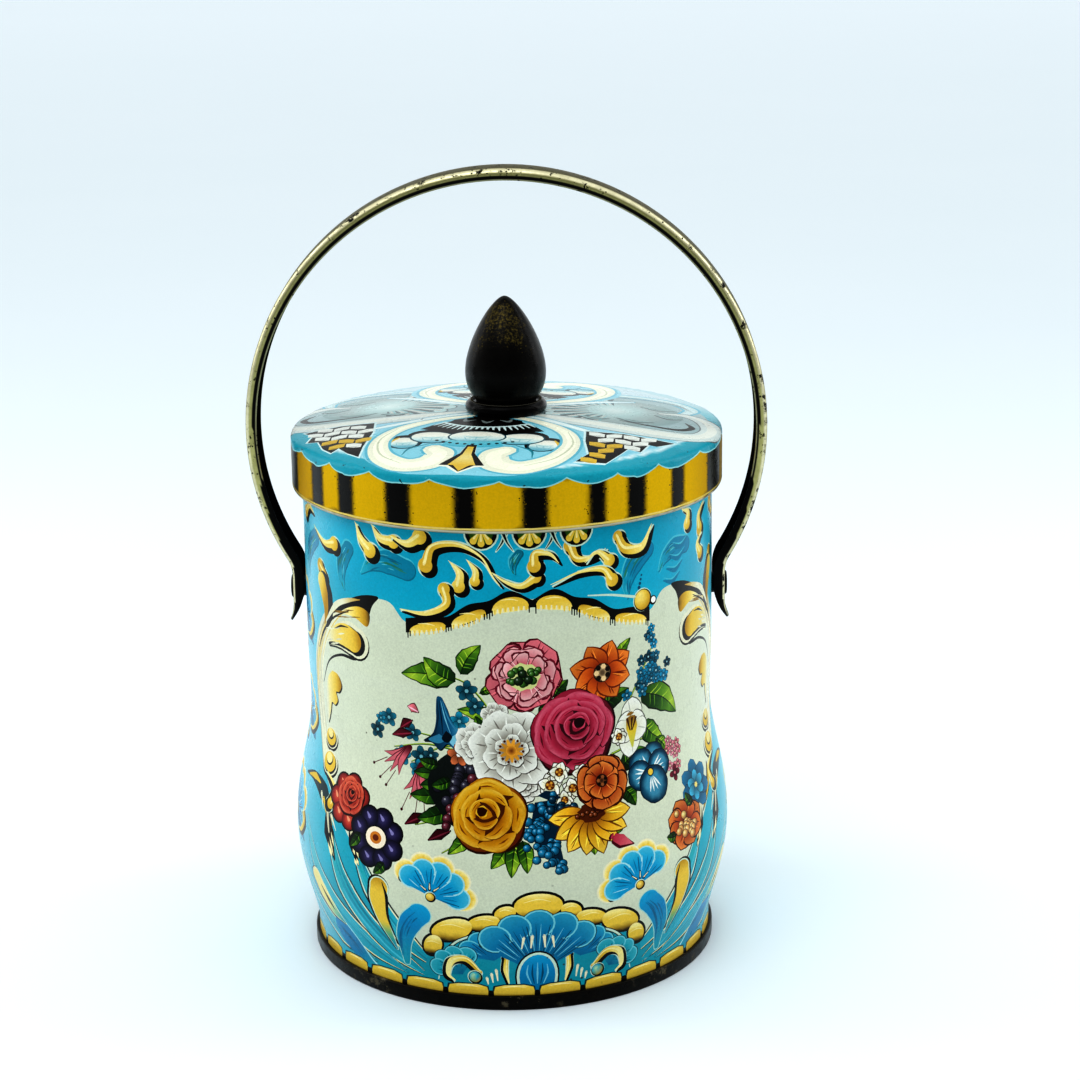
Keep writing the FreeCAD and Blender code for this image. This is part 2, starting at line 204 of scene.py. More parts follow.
def planar_map(sheet, outer, holes, grid, ground, finer=()):
    """Cuts the flat domain into triangles along every outline and a fine grid, and paints each corner."""
    pts, edges = [], []

    def loop(poly):
        start = len(pts)
        pts.extend(poly)
        edges.extend((start + i, start + (i + 1) % len(poly)) for i in range(len(poly)))

    loop(outer)
    for h in holes:
        loop(h)
    for poly, _ in sheet.shapes:
        loop(poly)
    lo, hi = np.min(outer, 0), np.max(outer, 0)
    rows = np.arange(lo[1] + grid * 0.45, hi[1] - grid * 0.3, grid * 0.866)
    for k, y in enumerate(rows):
        xs = np.arange(lo[0] + grid * (0.4 + 0.5 * (k % 2)), hi[0] - grid * 0.3, grid)
        pts.extend(np.stack([xs, np.full(len(xs), y)], 1))
    pts.extend(finer)
    verts, _, tris, *_ = geometry.delaunay_2d_cdt([Vector((float(p[0]), float(p[1]))) for p in pts],
                                                  edges, [], 0, 1e-5, False)
    verts = np.array([v[:] for v in verts])
    tris = np.array(tris)
    mid = verts[tris].mean(1)
    inside = winding(mid[:, 0], mid[:, 1], np.asarray(outer))
    for h in holes:
        inside &= ~winding(mid[:, 0], mid[:, 1], np.asarray(h))
    area = np.cross(verts[tris[:, 1]] - verts[tris[:, 0]], verts[tris[:, 2]] - verts[tris[:, 0]])
    tris = tris[inside & (area > 1e-7)]
    mid = verts[tris].mean(1)
    order = np.argsort(mid[:, 0])
    sorted_x = mid[order, 0]
    owner = np.full(len(tris), -1)
    for k in range(len(sheet.shapes) - 1, -1, -1):
        poly = sheet.shapes[k][0]
        (x0, y0), (x1, y1) = poly.min(0), poly.max(0)
        i, j = np.searchsorted(sorted_x, [x0, x1])
        some = order[i:j]
        some = some[(owner[some] < 0) & (mid[some, 1] >= y0) & (mid[some, 1] <= y1)]
        if len(some):
            owner[some[winding(mid[some, 0], mid[some, 1], poly)]] = k
    ink = ground(verts[tris].reshape(-1, 2)).reshape(-1, 3, 4)
    by_owner = np.argsort(owner, kind="stable")
    ks, starts = np.unique(owner[by_owner], return_index=True)
    for k, some in zip(ks, np.split(by_owner, starts[1:])):
        if k >= 0:
            ink[some] = sheet.shapes[k][1](verts[tris[some]].reshape(-1, 2)).reshape(-1, 3, 4)
    used, index = np.unique(tris, return_inverse=True)
    return verts[used], index.reshape(-1, 3), np.clip(ink, 0, 1)


def skin_mesh(name, points, normals, faces, ink, chart, materials, printed):
    """A printed shell. faces past the first `printed` are unprinted and take the second material."""
    me = bpy.data.meshes.new(name)
    flat_faces = np.concatenate([np.asarray(f, int).ravel() for f in faces])
    counts = np.concatenate([np.full(len(f), f.shape[1]) for f in faces])
    starts = np.concatenate([[0], np.cumsum(counts)[:-1]])
    me.vertices.add(len(points))
    me.vertices.foreach_set("co", (points * MM).astype(np.float32).ravel())
    me.loops.add(len(flat_faces))
    me.loops.foreach_set("vertex_index", flat_faces.astype(np.int32))
    me.polygons.add(len(counts))
    me.polygons.foreach_set("loop_start", starts.astype(np.int32))
    me.polygons.foreach_set("material_index", (np.arange(len(counts)) >= printed).astype(np.int32))
    me.update(calc_edges=True)
    colours = np.zeros((len(flat_faces), 4), np.float32)
    colours[: ink.shape[0] * 3] = ink.reshape(-1, 4)
    layer = me.color_attributes.new("ink", "BYTE_COLOR", "CORNER")
    layer.data.foreach_set("color_srgb", colours.ravel())
    uv = me.uv_layers.new(name="OFBake")
    uv.data.foreach_set("uv", chart.astype(np.float32).ravel())
    for m in materials:
        me.materials.append(m)
    me.shade_smooth()
    me.normals_split_custom_set_from_vertices([tuple(n) for n in normals])
    me.update()
    return link(bpy.data.objects.new(name, me))


# ---- node helpers -------------------------------------------------------------------------------
class Nodes:
    """Short names for making and joining shader nodes of one material."""

    def __init__(self, name):
        self.material = bpy.data.materials.new(name)
        self.material.use_nodes = True
        self.tree = self.material.node_tree
        self.tree.nodes.clear()
        self.out = self.tree.nodes.new("ShaderNodeOutputMaterial")
        self.shader = self.tree.nodes.new("ShaderNodeBsdfPrincipled")
        self.tree.links.new(self.shader.outputs[0], self.out.inputs[0])
        self.where = self.tree.nodes.new("ShaderNodeTexCoord").outputs["Object"]

    def node(self, kind, **values):
        n = self.tree.nodes.new(kind)
        for key, value in values.items():
            setattr(n, key, value)
        return n

    def put(self, socket, value):
        if isinstance(value, bpy.types.NodeSocket):
            self.tree.links.new(value, socket)
        elif isinstance(value,
                        (tuple, list,
                         np.ndarray)) and len(socket.default_value) == 4 and len(value) == 3:
            socket.default_value = (*value, 1)
        else:
            socket.default_value = value

    def set(self, **values):
        for key, value in values.items():
            self.put(self.shader.inputs[key.replace("_", " ")], value)

    def math(self, op, a, b):
        n = self.node("ShaderNodeMath", operation=op)
        for socket, value in zip(n.inputs, (a, b)):
            self.put(socket, value)
        return n.outputs[0]

    def noise(self, scale, detail=4.0, rough=0.6, stretch=None):
        n = self.node("ShaderNodeTexNoise")
        place = self.where
        if stretch:
            m = self.node("ShaderNodeMapping")
            m.inputs["Scale"].default_value = stretch
            self.put(m.inputs[0], place)
            place = m.outputs[0]
        self.put(n.inputs["Vector"], place)
        n.inputs["Scale"].default_value = scale
        n.inputs["Detail"].default_value = detail
        n.inputs["Roughness"].default_value = rough
        return n.outputs[0]

    def cells(self, scale):
        n = self.node("ShaderNodeTexVoronoi")
        self.put(n.inputs["Vector"], self.where)
        n.inputs["Scale"].default_value = scale
        return n.outputs["Distance"]

    def span(self, value, low, high, to_low=0.0, to_high=1.0):
        n = self.node("ShaderNodeMapRange")
        for socket, v in zip(n.inputs, (value, low, high, to_low, to_high)):
            self.put(socket, v)
        return n.outputs[0]

    def mix(self, factor, a, b, kind="MIX"):
        n = self.node("ShaderNodeMix", data_type="RGBA", blend_type=kind)
        self.put(n.inputs[0], factor)
        self.put(n.inputs[6], a)
        self.put(n.inputs[7], b)
        return n.outputs[2]

    def blend(self, factor, a, b):
        n = self.node("ShaderNodeMix", data_type="FLOAT")
        self.put(n.inputs[0], factor)
        self.put(n.inputs[2], a)
        self.put(n.inputs[3], b)
        return n.outputs[0]

    def bump(self, height, distance, strength=1.0):
        n = self.node("ShaderNodeBump")
        n.inputs["Strength"].default_value = strength
        n.inputs["Distance"].default_value = distance
        self.put(n.inputs["Height"], height)
        return n.outputs[0]

    def axis(self, which):
        n = self.node("ShaderNodeSeparateXYZ")
        self.put(n.inputs[0], self.where)
        return n.outputs["XYZ".index(which)]


def linear(c):
    """Linear colour of an sRGB colour given as 0..255."""
    c = np.array(c, float) / 255
    return tuple(np.where(c <= 0.04045, c / 12.92, ((c + 0.055) / 1.055) ** 2.4))


# ---- materials ----------------------------------------------------------------------------------
def printed_material(name, foil):
    """Litho ink under clear varnish on tinplate. The ink layer's alpha says where gold shows the metal."""
    m = Nodes(name)
    layer = m.node("ShaderNodeVertexColor", layer_name="ink")
    colour, gold = layer.outputs["Color"], layer.outputs["Alpha"]
    grain = m.noise(1900, 3, 0.7)
    cloud = m.noise(70, 4, 0.6)
    press = m.span(grain, 0.35, 0.65, 0.91, 1.05)
    tone = m.math("MULTIPLY", press, m.span(cloud, 0.3, 0.7, 0.95, 1.03))
    shade = m.node("ShaderNodeCombineColor")
    for k in range(3):
        m.put(shade.inputs[k], tone)
    toned = m.mix(1.0, colour, shade.outputs[0], "MULTIPLY")
    specks = m.span(m.cells(420), 0.10, 0.16, 1.0, 0.0)
    specks = m.math("MULTIPLY", specks, m.span(m.noise(55, 3), 0.60, 0.70))
    worn = m.mix(specks, toned, linear((60, 50, 40)))
    m.set(Base_Color=worn)
    m.set(Metallic=m.math("MULTIPLY", gold, foil))
    rough = m.blend(gold, m.span(cloud, 0.3, 0.7, 0.24, 0.32), m.span(grain, 0.3, 0.7, 0.30, 0.42))
    m.set(Roughness=rough, Specular_IOR_Level=0.5, Specular_Tint=(0.12, 0.12, 0.12, 1.0))
    m.set(Normal=m.bump(m.noise(260, 2, 0.5), 0.00004, 0.5))
    return m.material


def tinplate_material(name, tint):
    """Bare tinplate: crystalline bloom, drawing lines and a few dull stains."""
    m = Nodes(name)
    bloom = m.span(m.cells(95), 0.0, 0.9, 0.0, 1.0)
    stain = m.span(m.noise(45, 5, 0.65), 0.50, 0.72)
    base = m.mix(bloom, linear(tint), linear(tuple(0.86 * t for t in tint)))
    m.set(Base_Color=m.mix(stain, base, linear((118, 108, 92))), Metallic=1.0)
    lines = m.noise(60, 2, 0.5, stretch=(1, 1, 30))
    m.set(Roughness=m.math("ADD", m.span(lines, 0.3, 0.7, 0.24, 0.38), m.math("MULTIPLY", stain, 0.2)))
    m.set(Normal=m.bump(lines, 0.00003, 0.6))
    return m.material


def seam_material():
    """Black lacquered double seam, rubbed through to dark metal in patches."""
    m = Nodes("black_lacquered_seam")
    rub = m.span(m.noise(210, 6, 0.75), 0.56, 0.64)
    patch = m.span(m.noise(38, 3, 0.6), 0.42, 0.62)
    worn = m.math("MULTIPLY", rub, patch)
    base = m.mix(m.span(m.noise(900, 3), 0.35, 0.65), linear((9, 8, 7)), linear((20, 17, 14)))
    m.set(Base_Color=m.mix(worn, base, linear((128, 118, 96))))
    m.set(Metallic=m.blend(worn, 0.0, 0.9))
    m.set(Roughness=m.blend(worn, m.span(m.noise(300, 4), 0.3, 0.7, 0.26, 0.42), 0.5))
    m.set(Specular_IOR_Level=0.5, Specular_Tint=(0.15, 0.15, 0.15, 1.0))
    m.set(Normal=m.bump(m.math("SUBTRACT", m.noise(700, 4), m.math("MULTIPLY", worn, 0.6)), 0.00008, 0.7))
    return m.material


def strip_material():
    """Gold lacquered strip with chips down to black, specks, drawn lines along it and a greyer outer face.
    Its ink layer brings a painted highlight on the rounded corners, and black for the inner face and for
    painted shade on the flanges.
    """
    m = Nodes("gold_lacquered_strip")
    layer = m.node("ShaderNodeVertexColor", layer_name="ink")
    worn_in = layer.outputs["Alpha"]
    drift = m.noise(24, 4, 0.6)
    fine = m.noise(420, 5, 0.7)
    tone = m.mix(m.span(drift, 0.3, 0.7), layer.outputs["Color"], m.mix(0.35, layer.outputs["Color"],
            linear((150, 150, 112))))
    tone = m.mix(m.span(fine, 0.35, 0.75, 0.0, 0.34), tone, linear((92, 84, 52)))
    chips = m.span(m.noise(330, 6, 0.72), m.blend(worn_in, 0.66, 0.47), m.blend(worn_in, 0.70, 0.53))
    pits = m.span(m.cells(700), 0.14, 0.2, 1.0, 0.0)
    pits = m.math("MULTIPLY", pits, m.span(m.noise(90, 2), 0.46, 0.60))
    # where the ink is black: the strip's black inner face and the painted shade on its flanges, both kept
    # dark
    black_back_and_shade = m.span(worn_in, 0.06, 0.26, 1.0, 0.0)
    dark = m.math("MAXIMUM", m.math("MAXIMUM", chips, pits), black_back_and_shade)
    m.set(Base_Color=m.mix(dark, tone, linear((11, 10, 8))))
    m.set(Metallic=m.blend(dark, 0.85, 0.0), Specular_IOR_Level=0.5, Specular_Tint=(0.2, 0.2, 0.2, 1.0))
    m.set(Roughness=m.math("ADD", m.blend(dark, 0.27, 0.5), m.span(fine, 0.3, 0.7, 0.0, 0.12)))
    m.set(Normal=m.bump(m.math("SUBTRACT", m.math("MULTIPLY", fine, 0.5), dark), 0.00006, 0.8))
    return m.material


def knob_material():
    """Semi-gloss black with olive gold rubbed through in specks over the upper part, thickest on the front,
    where they also stand in for a painted sheen.
    """
    m = Nodes("black_knob")
    high = m.span(m.axis("Z"), 0.147, 0.1635)
    cap = m.span(m.axis("Z"), 0.1665, 0.1683, 1.0, 0.45)
    # painted sheen: the gold specks gather on the upper front of the knob
    front = m.span(m.axis("Y"), 0.004, -0.007)
    area = m.math("MULTIPLY", m.math("MULTIPLY", high, cap),
                  m.math("ADD", m.math("MULTIPLY", front, 0.75), 0.25))
    patch = m.span(m.math("ADD", m.noise(95, 3), m.math("MULTIPLY", area, 0.35)), 0.60, 0.88)
    specks = m.span(m.noise(1500, 5, 0.8), m.span(patch, 0, 1, 0.70, 0.47), m.span(patch, 0, 1, 0.74, 0.60))
    m.set(Base_Color=m.mix(specks, linear((13, 11, 9)), linear((96, 84, 42))))
    m.set(Metallic=m.math("MULTIPLY", specks, 0.55))
    m.set(Roughness=m.math("ADD", m.span(m.noise(600, 4), 0.3, 0.7, 0.24, 0.36),
                           m.math("MULTIPLY", specks, 0.15)))
    m.set(Specular_IOR_Level=0.5, Specular_Tint=(0.2, 0.2, 0.2, 1.0))
    m.set(Normal=m.bump(m.noise(800, 4, 0.65), 0.00005, 0.6))
    return m.material


def collar_material():
    """Dark polished brass, with bright metal in patches on its lip: a painted glint along the lip."""
    m = Nodes("dark_brass_collar")
    lip = m.span(m.axis("Z"), 0.14225, 0.14240)
    stain = m.span(m.noise(260, 5, 0.7), 0.4, 0.65)
    # painted glint: bright metal in patches along the lip
    bright = m.math("MULTIPLY", lip, m.span(m.noise(120, 3), 0.25, 0.45))
    base = m.mix(stain, linear((7, 6, 5)), linear((4, 3, 3)))
    m.set(Base_Color=m.mix(bright, base, linear((150, 146, 132))), Metallic=m.blend(bright, 0.0, 1.0),
          Specular_Tint=(0.12, 0.12, 0.12, 1.0))
    m.set(Roughness=m.span(stain, 0, 1, 0.16, 0.3))
    m.set(Normal=m.bump(m.noise(500, 3), 0.00003, 0.5))
    return m.material


def steel_material(name, bright):
    """Steel hardware, dull, with brown bloom in patches. Blackened where bright is low."""
    m = Nodes(name)
    bloom = m.span(m.noise(420, 5, 0.7), 0.48, 0.70)
    m.set(Base_Color=m.mix(bloom, linear(np.array((176, 174, 168)) * bright),
                           linear(np.array((104, 84, 62)) * bright)))
    m.set(Metallic=m.blend(bloom, bright, 0.6 * bright), Specular_Tint=(bright, bright, bright, 1.0))
    m.set(Roughness=m.blend(bloom, m.span(m.noise(1400, 3), 0.3, 0.7, 0.26, 0.40), 0.6))
    m.set(Normal=m.bump(m.noise(900, 4), 0.00005, 0.6))
    return m.material


def floor_material():
    """Pale backdrop paper, painted lighter far behind the tin as painted light, making up for the lamps that
    don't reach it there.
    """
    m = Nodes("pale_floor")
    near = m.mix(m.span(m.noise(3, 2), 0.3, 0.7), (0.80, 0.87, 0.905), (0.815, 0.88, 0.915))
    m.set(Base_Color=m.mix(m.span(m.axis("Y"), 0.6, 3.0), near, (0.885, 0.95, 0.99)))
    m.set(Roughness=0.85, Specular_IOR_Level=0.2)
    return m.material


# ---- inks ---------------------------------------------------------------------------------------
TEAL, TEAL_TOP, TEAL_LOW, TEAL_DARK = rgb(36, 174, 194), rgb(16, 168, 196), rgb(22, 156, 174), rgb(14,
        120, 142)
BLUE, BLUE_SOFT = rgb(0, 138, 188), rgb(16, 162, 206)
PALE, RIM, IVORY, CREAM, WHITE = rgb(166, 220, 226), rgb(206, 228, 208), rgb(217, 223, 199), rgb(240,
        234, 198), rgb(250, 250, 244)
GOLD, GOLD_LIGHT, GOLD_DARK, BLACK = rgb(236, 200, 78), rgb(252, 236, 162), rgb(190, 144, 40), rgb(13,
        11, 9)
LEAF_DARK, LEAF_MID, LEAF_LIGHT = rgb(34, 74, 24), rgb(96, 146, 36), rgb(176, 204, 66)
SKIRT_GOLD = rgb(216, 174, 22)
CRIMSON, MAROON, PINK, PINK_PALE = rgb(170, 40, 68), rgb(84, 12, 28), rgb(222, 118, 128), rgb(246, 190, 190)
GREENS, DEEP_GREENS = (LEAF_DARK, LEAF_MID, LEAF_LIGHT), (LEAF_DARK * 0.6, LEAF_DARK, LEAF_MID)
WHITES = (rgb(62, 54, 46), rgb(148, 142, 130), rgb(224, 224, 212), rgb(248, 248, 238))
BROWNS = (rgb(62, 18, 8), rgb(112, 34, 12), rgb(182, 78, 30), rgb(222, 138, 66))
STEM = IVORY * 0.45 + CREAM * 0.55

# ---- the hand: outlines -------------------------------------------------------------------------
def curve(points, n=7):
    """A smooth line through the points."""
    p = np.asarray(points, float)
    p = np.concatenate([[2 * p[0] - p[1]], p, [2 * p[-1] - p[-2]]])
    t = np.linspace(0, 1, n, endpoint=False)[:, None]
    runs = []
    for a, b, c, d in zip(p, p[1:], p[2:], p[3:]):
        runs.append(0.5 * (2 * b + (c - a) * t + (2 * a - 5 * b + 4 * c - d) * t ** 2
                           + (3 * b - a - 3 * c + d) * t ** 3))
    return np.concatenate(runs + [p[-2:-1]])


def ribbon(points, widths, n=7):
    """Outline of a smooth line whose width varies; its ends are round."""
    mid = curve(points, n)
    w = np.interp(np.linspace(0, 1, len(mid)), np.linspace(0, 1, len(widths)), widths) / 2
    along = np.gradient(mid, axis=0)
    along /= np.linalg.norm(along, axis=1)[:, None] + 1e-9
    across = np.stack([-along[:, 1], along[:, 0]], 1)

    def cap(k, sign):
        a = np.radians(np.linspace(60, -60, 4))[:, None] * sign
        return mid[k] + w[k] * (np.cos(a) * along[k] * sign + np.sin(a) * across[k] * sign)

    return np.concatenate([mid + across * w[:, None], cap(-1, 1), (mid - across * w[:, None])[::-1],
                           cap(0, -1)])


def blob(c, rx, ry=None, turn=0.0, n=18, lobes=0, deep=0.0, start=0.0):
    """Oval outline, with optional lobes round it."""
    ry = rx if ry is None else ry
    a = np.linspace(0, TAU, n, endpoint=False)
    k = 1 + deep * (np.abs(np.cos(lobes * (a - start) / 2)) - 0.6) if lobes else 1.0
    x, y = rx * k * np.cos(a), ry * k * np.sin(a)
    ct, st = math.cos(math.radians(turn)), math.sin(math.radians(turn))
    return np.stack([c[0] + x * ct - y * st, c[1] + x * st + y * ct], 1)


def petal_outline(c, deg, r0, r1, wide, notch=0.0, blunt=0.5):
    """Outline of a petal that points away from c at deg degrees, from r0 out to r1."""
    t = np.linspace(0, 1, 9)
    half = wide / 2 * np.sin(np.pi * t ** blunt) ** 0.8
    half[0], half[-1] = wide * 0.12, 0
    reach = r0 + (r1 - r0) * t
    x = np.concatenate([reach, reach[::-1][1:]])
    y = np.concatenate([half, -half[::-1][1:]])
    if notch:
        x = x - notch * np.exp(-(y / (0.18 * wide)) ** 2) * (x > r0 + 0.8 * (r1 - r0))
    a = math.radians(deg)
    return np.stack([c[0] + x * math.cos(a) - y * math.sin(a), c[1] + x * math.sin(a) + y * math.cos(a)], 1)


def mirror(points, about):
    return [(2 * about - x, *rest) for x, *rest in points]


def sided(sign):
    """A function that puts points on the panel's right half for 1, or mirrored on its left half for -1."""
    return lambda *points: [(sign * x, z) for x, z in points]


def spot(c, deg, r):
    return (c[0] + r * math.cos(math.radians(deg)), c[1] + r * math.sin(math.radians(deg)))


# ---- the hand: ornaments ------------------------------------------------------------------------
def drop(s, points, widths, grow, shift, paint):
    """A tapering stroke with a round head at its first point. grow widens it, less at the thin end."""
    w = np.asarray(widths, float)
    p = np.asarray(points, float) + shift
    s.add(ribbon(p, w + grow * np.clip(w / 1.6, 0.25, 1)), paint)
    s.add(blob(p[0], (w[0] + grow) / 2 * 1.04, n=20), paint)


def gold_scroll(s, points, widths, shade=(0.30, -0.26)):
    """A gold comma, ball first: pale hairline outside, black crescent on its shaded side, bright edge."""
    w = np.asarray(widths, float)
    big = float(w.max())
    p = np.asarray(points, float)
    sh = np.asarray(shade) * big
    neck = w * np.interp(np.arange(len(w)), [0, len(w) - 1], [0.84, 0.86])
    body = [(0, GOLD_DARK * 0.4 + GOLD * 0.6, 1), (0.14, GOLD, 1),
            (0.45, GOLD * 0.45 + GOLD_LIGHT * 0.55, 1), (1, GOLD_LIGHT, 1)]
    for grow, move, paint in ((0.60, 0.34, flat(RIM)), (0.12, 0.62, flat(BLACK)),
                              (-0.20 * big, -0.10, ramp(p[0] + sh * 0.9, p[-1], body))):
        s.add(ribbon(p + sh * move, np.maximum(neck + grow * np.clip(neck / 1.4, 0.22, 1), 0.12)), paint)
        s.add(blob(p[0] + sh * move, (w[0] * 1.06 + grow) / 2, n=20), paint)
    lit = max(3, len(p) - 1)
    s.add(ribbon(p[:lit] - sh * 0.36, neck[:lit] * 0.22), flat(GOLD_LIGHT, 1))


def bead(s, c, r, tone=GOLD):
    """A round bead with a pale rim and a black line."""
    s.add(blob(c, r + 0.45), flat(RIM))
    s.add(blob((c[0] + 0.12, c[1] - 0.12), r + 0.3), flat(BLACK))
    s.add(blob(c, r), radial((c[0] - 0.3 * r, c[1] + 0.35 * r), 1.5 * r,
                             [(0, GOLD_LIGHT, 1), (0.5, tone, 1), (1, GOLD_DARK, 1)]))


def streaks(s, points, count, spread, width, colour, rng, length=1.0):
    """Fine brush hairs that follow a line."""
    p = np.asarray(points, float)
    d = p[-1] - p[0]
    across = np.array([-d[1], d[0]]) / (np.linalg.norm(d) + 1e-9)
    for _ in range(count):
        a, b = sorted(rng.uniform(0, 1, 2))
        b = min(1.0, a + max(0.25, (b - a)) * length)
        line = curve(p, 6)
        i, j = int(a * (len(line) - 2)), max(int(a * (len(line) - 2)) + 2, int(b * (len(line) - 1)))
        s.add(ribbon(line[i:j + 1] + across * rng.uniform(-spread, spread), [0.1, width, 0.1], 1),
              flat(colour * rng.uniform(0.92, 1.06)))


def leaf(s, base, tip, wide, bend, tones, veins=4):
    """A leaf in three greens with a midrib and side veins; bend bows it sideways."""
    dark, mid_c, light = tones
    a, b = np.array(base, float), np.array(tip, float)
    d = b - a
    size = np.linalg.norm(d)
    across = np.array([-d[1], d[0]]) / size
    t = np.linspace(0, 1, 11)
    rib = a + t[:, None] * d + across * (bend * np.sin(np.pi * t))[:, None]
    half = wide / 2 * np.sin(np.pi * t ** 0.72) ** 0.85
    half *= 1 + 0.06 * np.sin(np.arange(11) * 2.4)
    up, low = rib + across * half[:, None], rib - across * half[:, None]
    s.add(np.concatenate([rib + across * (half * 1.08 + 0.12)[:, None],
                          (rib - across * (half * 1.08 + 0.16)[:, None])[::-1]]), flat(dark * 0.45))
    s.add(np.concatenate([rib, up[::-1]]), ramp(a, b, [(0, dark), (0.45, mid_c), (0.8, light), (1, mid_c)]))
    s.add(np.concatenate([rib, low[::-1]]), ramp(a, b, [(0, dark * 0.6), (0.4, dark), (0.8, mid_c),
                                                        (1, dark)]))
    for k in range(veins):
        i = 2 + int(k * 7 / max(veins, 1))
        for side, tone in ((up, light * 1.06), (low, mid_c * 1.1)):
            s.add(ribbon([rib[i], (rib[i] + side[i + 1]) / 2 + d * 0.02,
                          side[i + 1] * 0.85 + rib[i + 1] * 0.15], [0.28, 0.22, 0.06], 3),
                  flat(np.clip(tone, 0, 1)))
    s.add(ribbon(rib[::2], [0.34, 0.3, 0.24, 0.1], 2), flat(dark * 0.55))


def sprig(s, points, width, colour):
    s.add(ribbon(points, [width, width * 0.8, width * 0.5], 5), flat(colour))


def rose(s, c, r, tones, rng, rings=4, heart=(0.12, 0.2)):
    """A full rose: broad ruffled outer petals, then crescents that wind in to a dark heart."""
    deep, mid_c, light, pale = tones
    c = np.array(c, float)
    s.add(blob(c + [0.15, -0.25], r * 1.03, lobes=5, deep=0.10, start=0.4, n=30), flat(deep * 0.5))
    s.add(blob(c, r * 0.99, lobes=5, deep=0.10, start=0.4, n=30), radial(c + [-0.25 * r, 0.3 * r],
            r * 1.35, [(0, mid_c), (0.5, mid_c), (1, deep)]))
    hc = c + np.array(heart) * r
    for ring in range(rings):
        f = 1 - ring / (rings + 0.55)
        petals = (5, 4, 3, 3, 3)[ring]
        turn = rng.uniform(0, 90) + ring * 41
        for k in range(petals):
            mid_deg = turn + k * 360 / petals + rng.uniform(-12, 12)
            span = 360 / petals * rng.uniform(1.15, 1.5)
            arcs = np.radians(np.linspace(mid_deg - span / 2, mid_deg + span / 2, 15))
            prof = np.sin(np.linspace(0, np.pi, 15)) ** 0.8
            centre = c * f + hc * (1 - f) + 0.06 * r * f * np.array([math.cos(math.radians(mid_deg)),
                    math.sin(math.radians(mid_deg))])
            ruffle = 1 + 0.022 * np.sin(4 * arcs + ring) + 0.012 * np.sin(9 * arcs)
            out = r * f * (0.80 + 0.13 * prof) * ruffle
            deep_in = out * (1 - (0.42 + 0.12 * rng.uniform()) * prof ** 0.8)
            way = np.stack([np.cos(arcs), np.sin(arcs)], 1)
            outer_line, inner_line = centre + way * out[:, None], centre + way * deep_in[:, None]
            lit = 0.5 + 0.5 * math.cos(math.radians(mid_deg - 115))
            edge = mid_c * (0.75 - 0.55 * lit) + light * (0.25 + 0.55 * lit)
            fold = deep * 0.55 + mid_c * 0.15
            s.add(np.concatenate([outer_line + [0.10, -0.16], inner_line[::-1] * 0.6 + centre * 0.4]),
                  flat(fold))
            s.add(np.concatenate([outer_line, inner_line[::-1]]), radial(centre, r * f * 0.95,
                    [(0.32, deep * 0.75), (0.56, mid_c * 0.8 + deep * 0.2), (0.76, edge),
                     (0.90, edge * 0.55 + pale * 0.45), (1.0, edge * 0.9)]))
            for q in (0.10, 0.30, 0.52):
                i = rng.integers(1, 8)
                line = (outer_line * (1 - q) + inner_line * q)[i:i + rng.integers(4, 7)]
                tone = edge * 0.5 + pale * 0.5 if q < 0.2 else (mid_c * 0.55 + light
                        * 0.45 if q < 0.4 else deep * 0.7 + mid_c * 0.3)
                s.add(ribbon(line, [0.06, 0.045 * r * f + 0.05, 0.06], 1), flat(tone))
    s.add(blob(hc, r * 0.15, r * 0.12, 20, 12), flat(deep * 0.5))
    for k in range(3):
        a = math.radians(30 + 120 * k)
        s.add(ribbon([hc + 0.15 * r * np.array([math.cos(a + q), math.sin(a + q)]) for q in (0, 0.8,
                1.7)], [0.08, 0.05 * r, 0.08], 3), flat(light * 0.8 + pale * 0.2))


def daisy(s, c, r, petals, tones, rng, eye=0.3, eye_tones=None, wide=0.9, notch=0.0, blunt=0.75,
          start=None, sweep=360, streak=2):
    """A flower with separate petals round an eye. tones: outline, base, middle and tip of a petal."""
    line, low, mid_c, tip = tones
    c = np.array(c, float)
    start = rng.uniform(0, 60) if start is None else start
    order = [(k * 2) % petals if petals % 2 else k for k in range(petals)]
    for k in order:
        deg = start + sweep * k / petals + rng.uniform(-4, 4)
        reach = r * rng.uniform(0.92, 1.06)
        w = wide * r * math.tan(math.pi * sweep / 360 / petals) * 1.9
        j = rng.uniform(0.92, 1.06)
        s.add(petal_outline(c, deg, 0.05 * r, reach + 0.28, w * 1.1 + 0.22, notch, blunt), flat(line))
        s.add(petal_outline(c, deg, 0.05 * r, reach, w, notch, blunt),
              radial(c, reach, [(0.2, low * j), (0.55, mid_c * j), (0.95, np.clip(tip * j, 0, 1))]))
        for q in range(streak):
            off = rng.uniform(-0.22, 0.22) * w / r * 60
            tone = np.clip(tip * 1.12, 0, 1) if q % 2 else low * 0.85
            a, b = spot(c, deg + off * 0.5, reach * rng.uniform(0.3, 0.45)), spot(c, deg + off,
                    reach * rng.uniform(0.7, 0.92))
            s.add(ribbon([a, b], [0.05, 0.045 * r + 0.06, 0.05], 3), flat(tone))
    if eye:
        e_line, e_dark, e_light = eye_tones
        s.add(blob(c, eye * r + 0.22, n=14), flat(e_line))
        s.add(blob(c, eye * r, n=14), radial(c, eye * r, [(0, e_dark), (0.6, e_light), (1, e_dark)]))
        for k in range(7):
            s.add(blob(spot(c, 51 * k + start, eye * r * 0.72), 0.08 * r + 0.05, n=6),
                  flat(e_light * 1.05 if k % 2 else e_dark * 0.7))


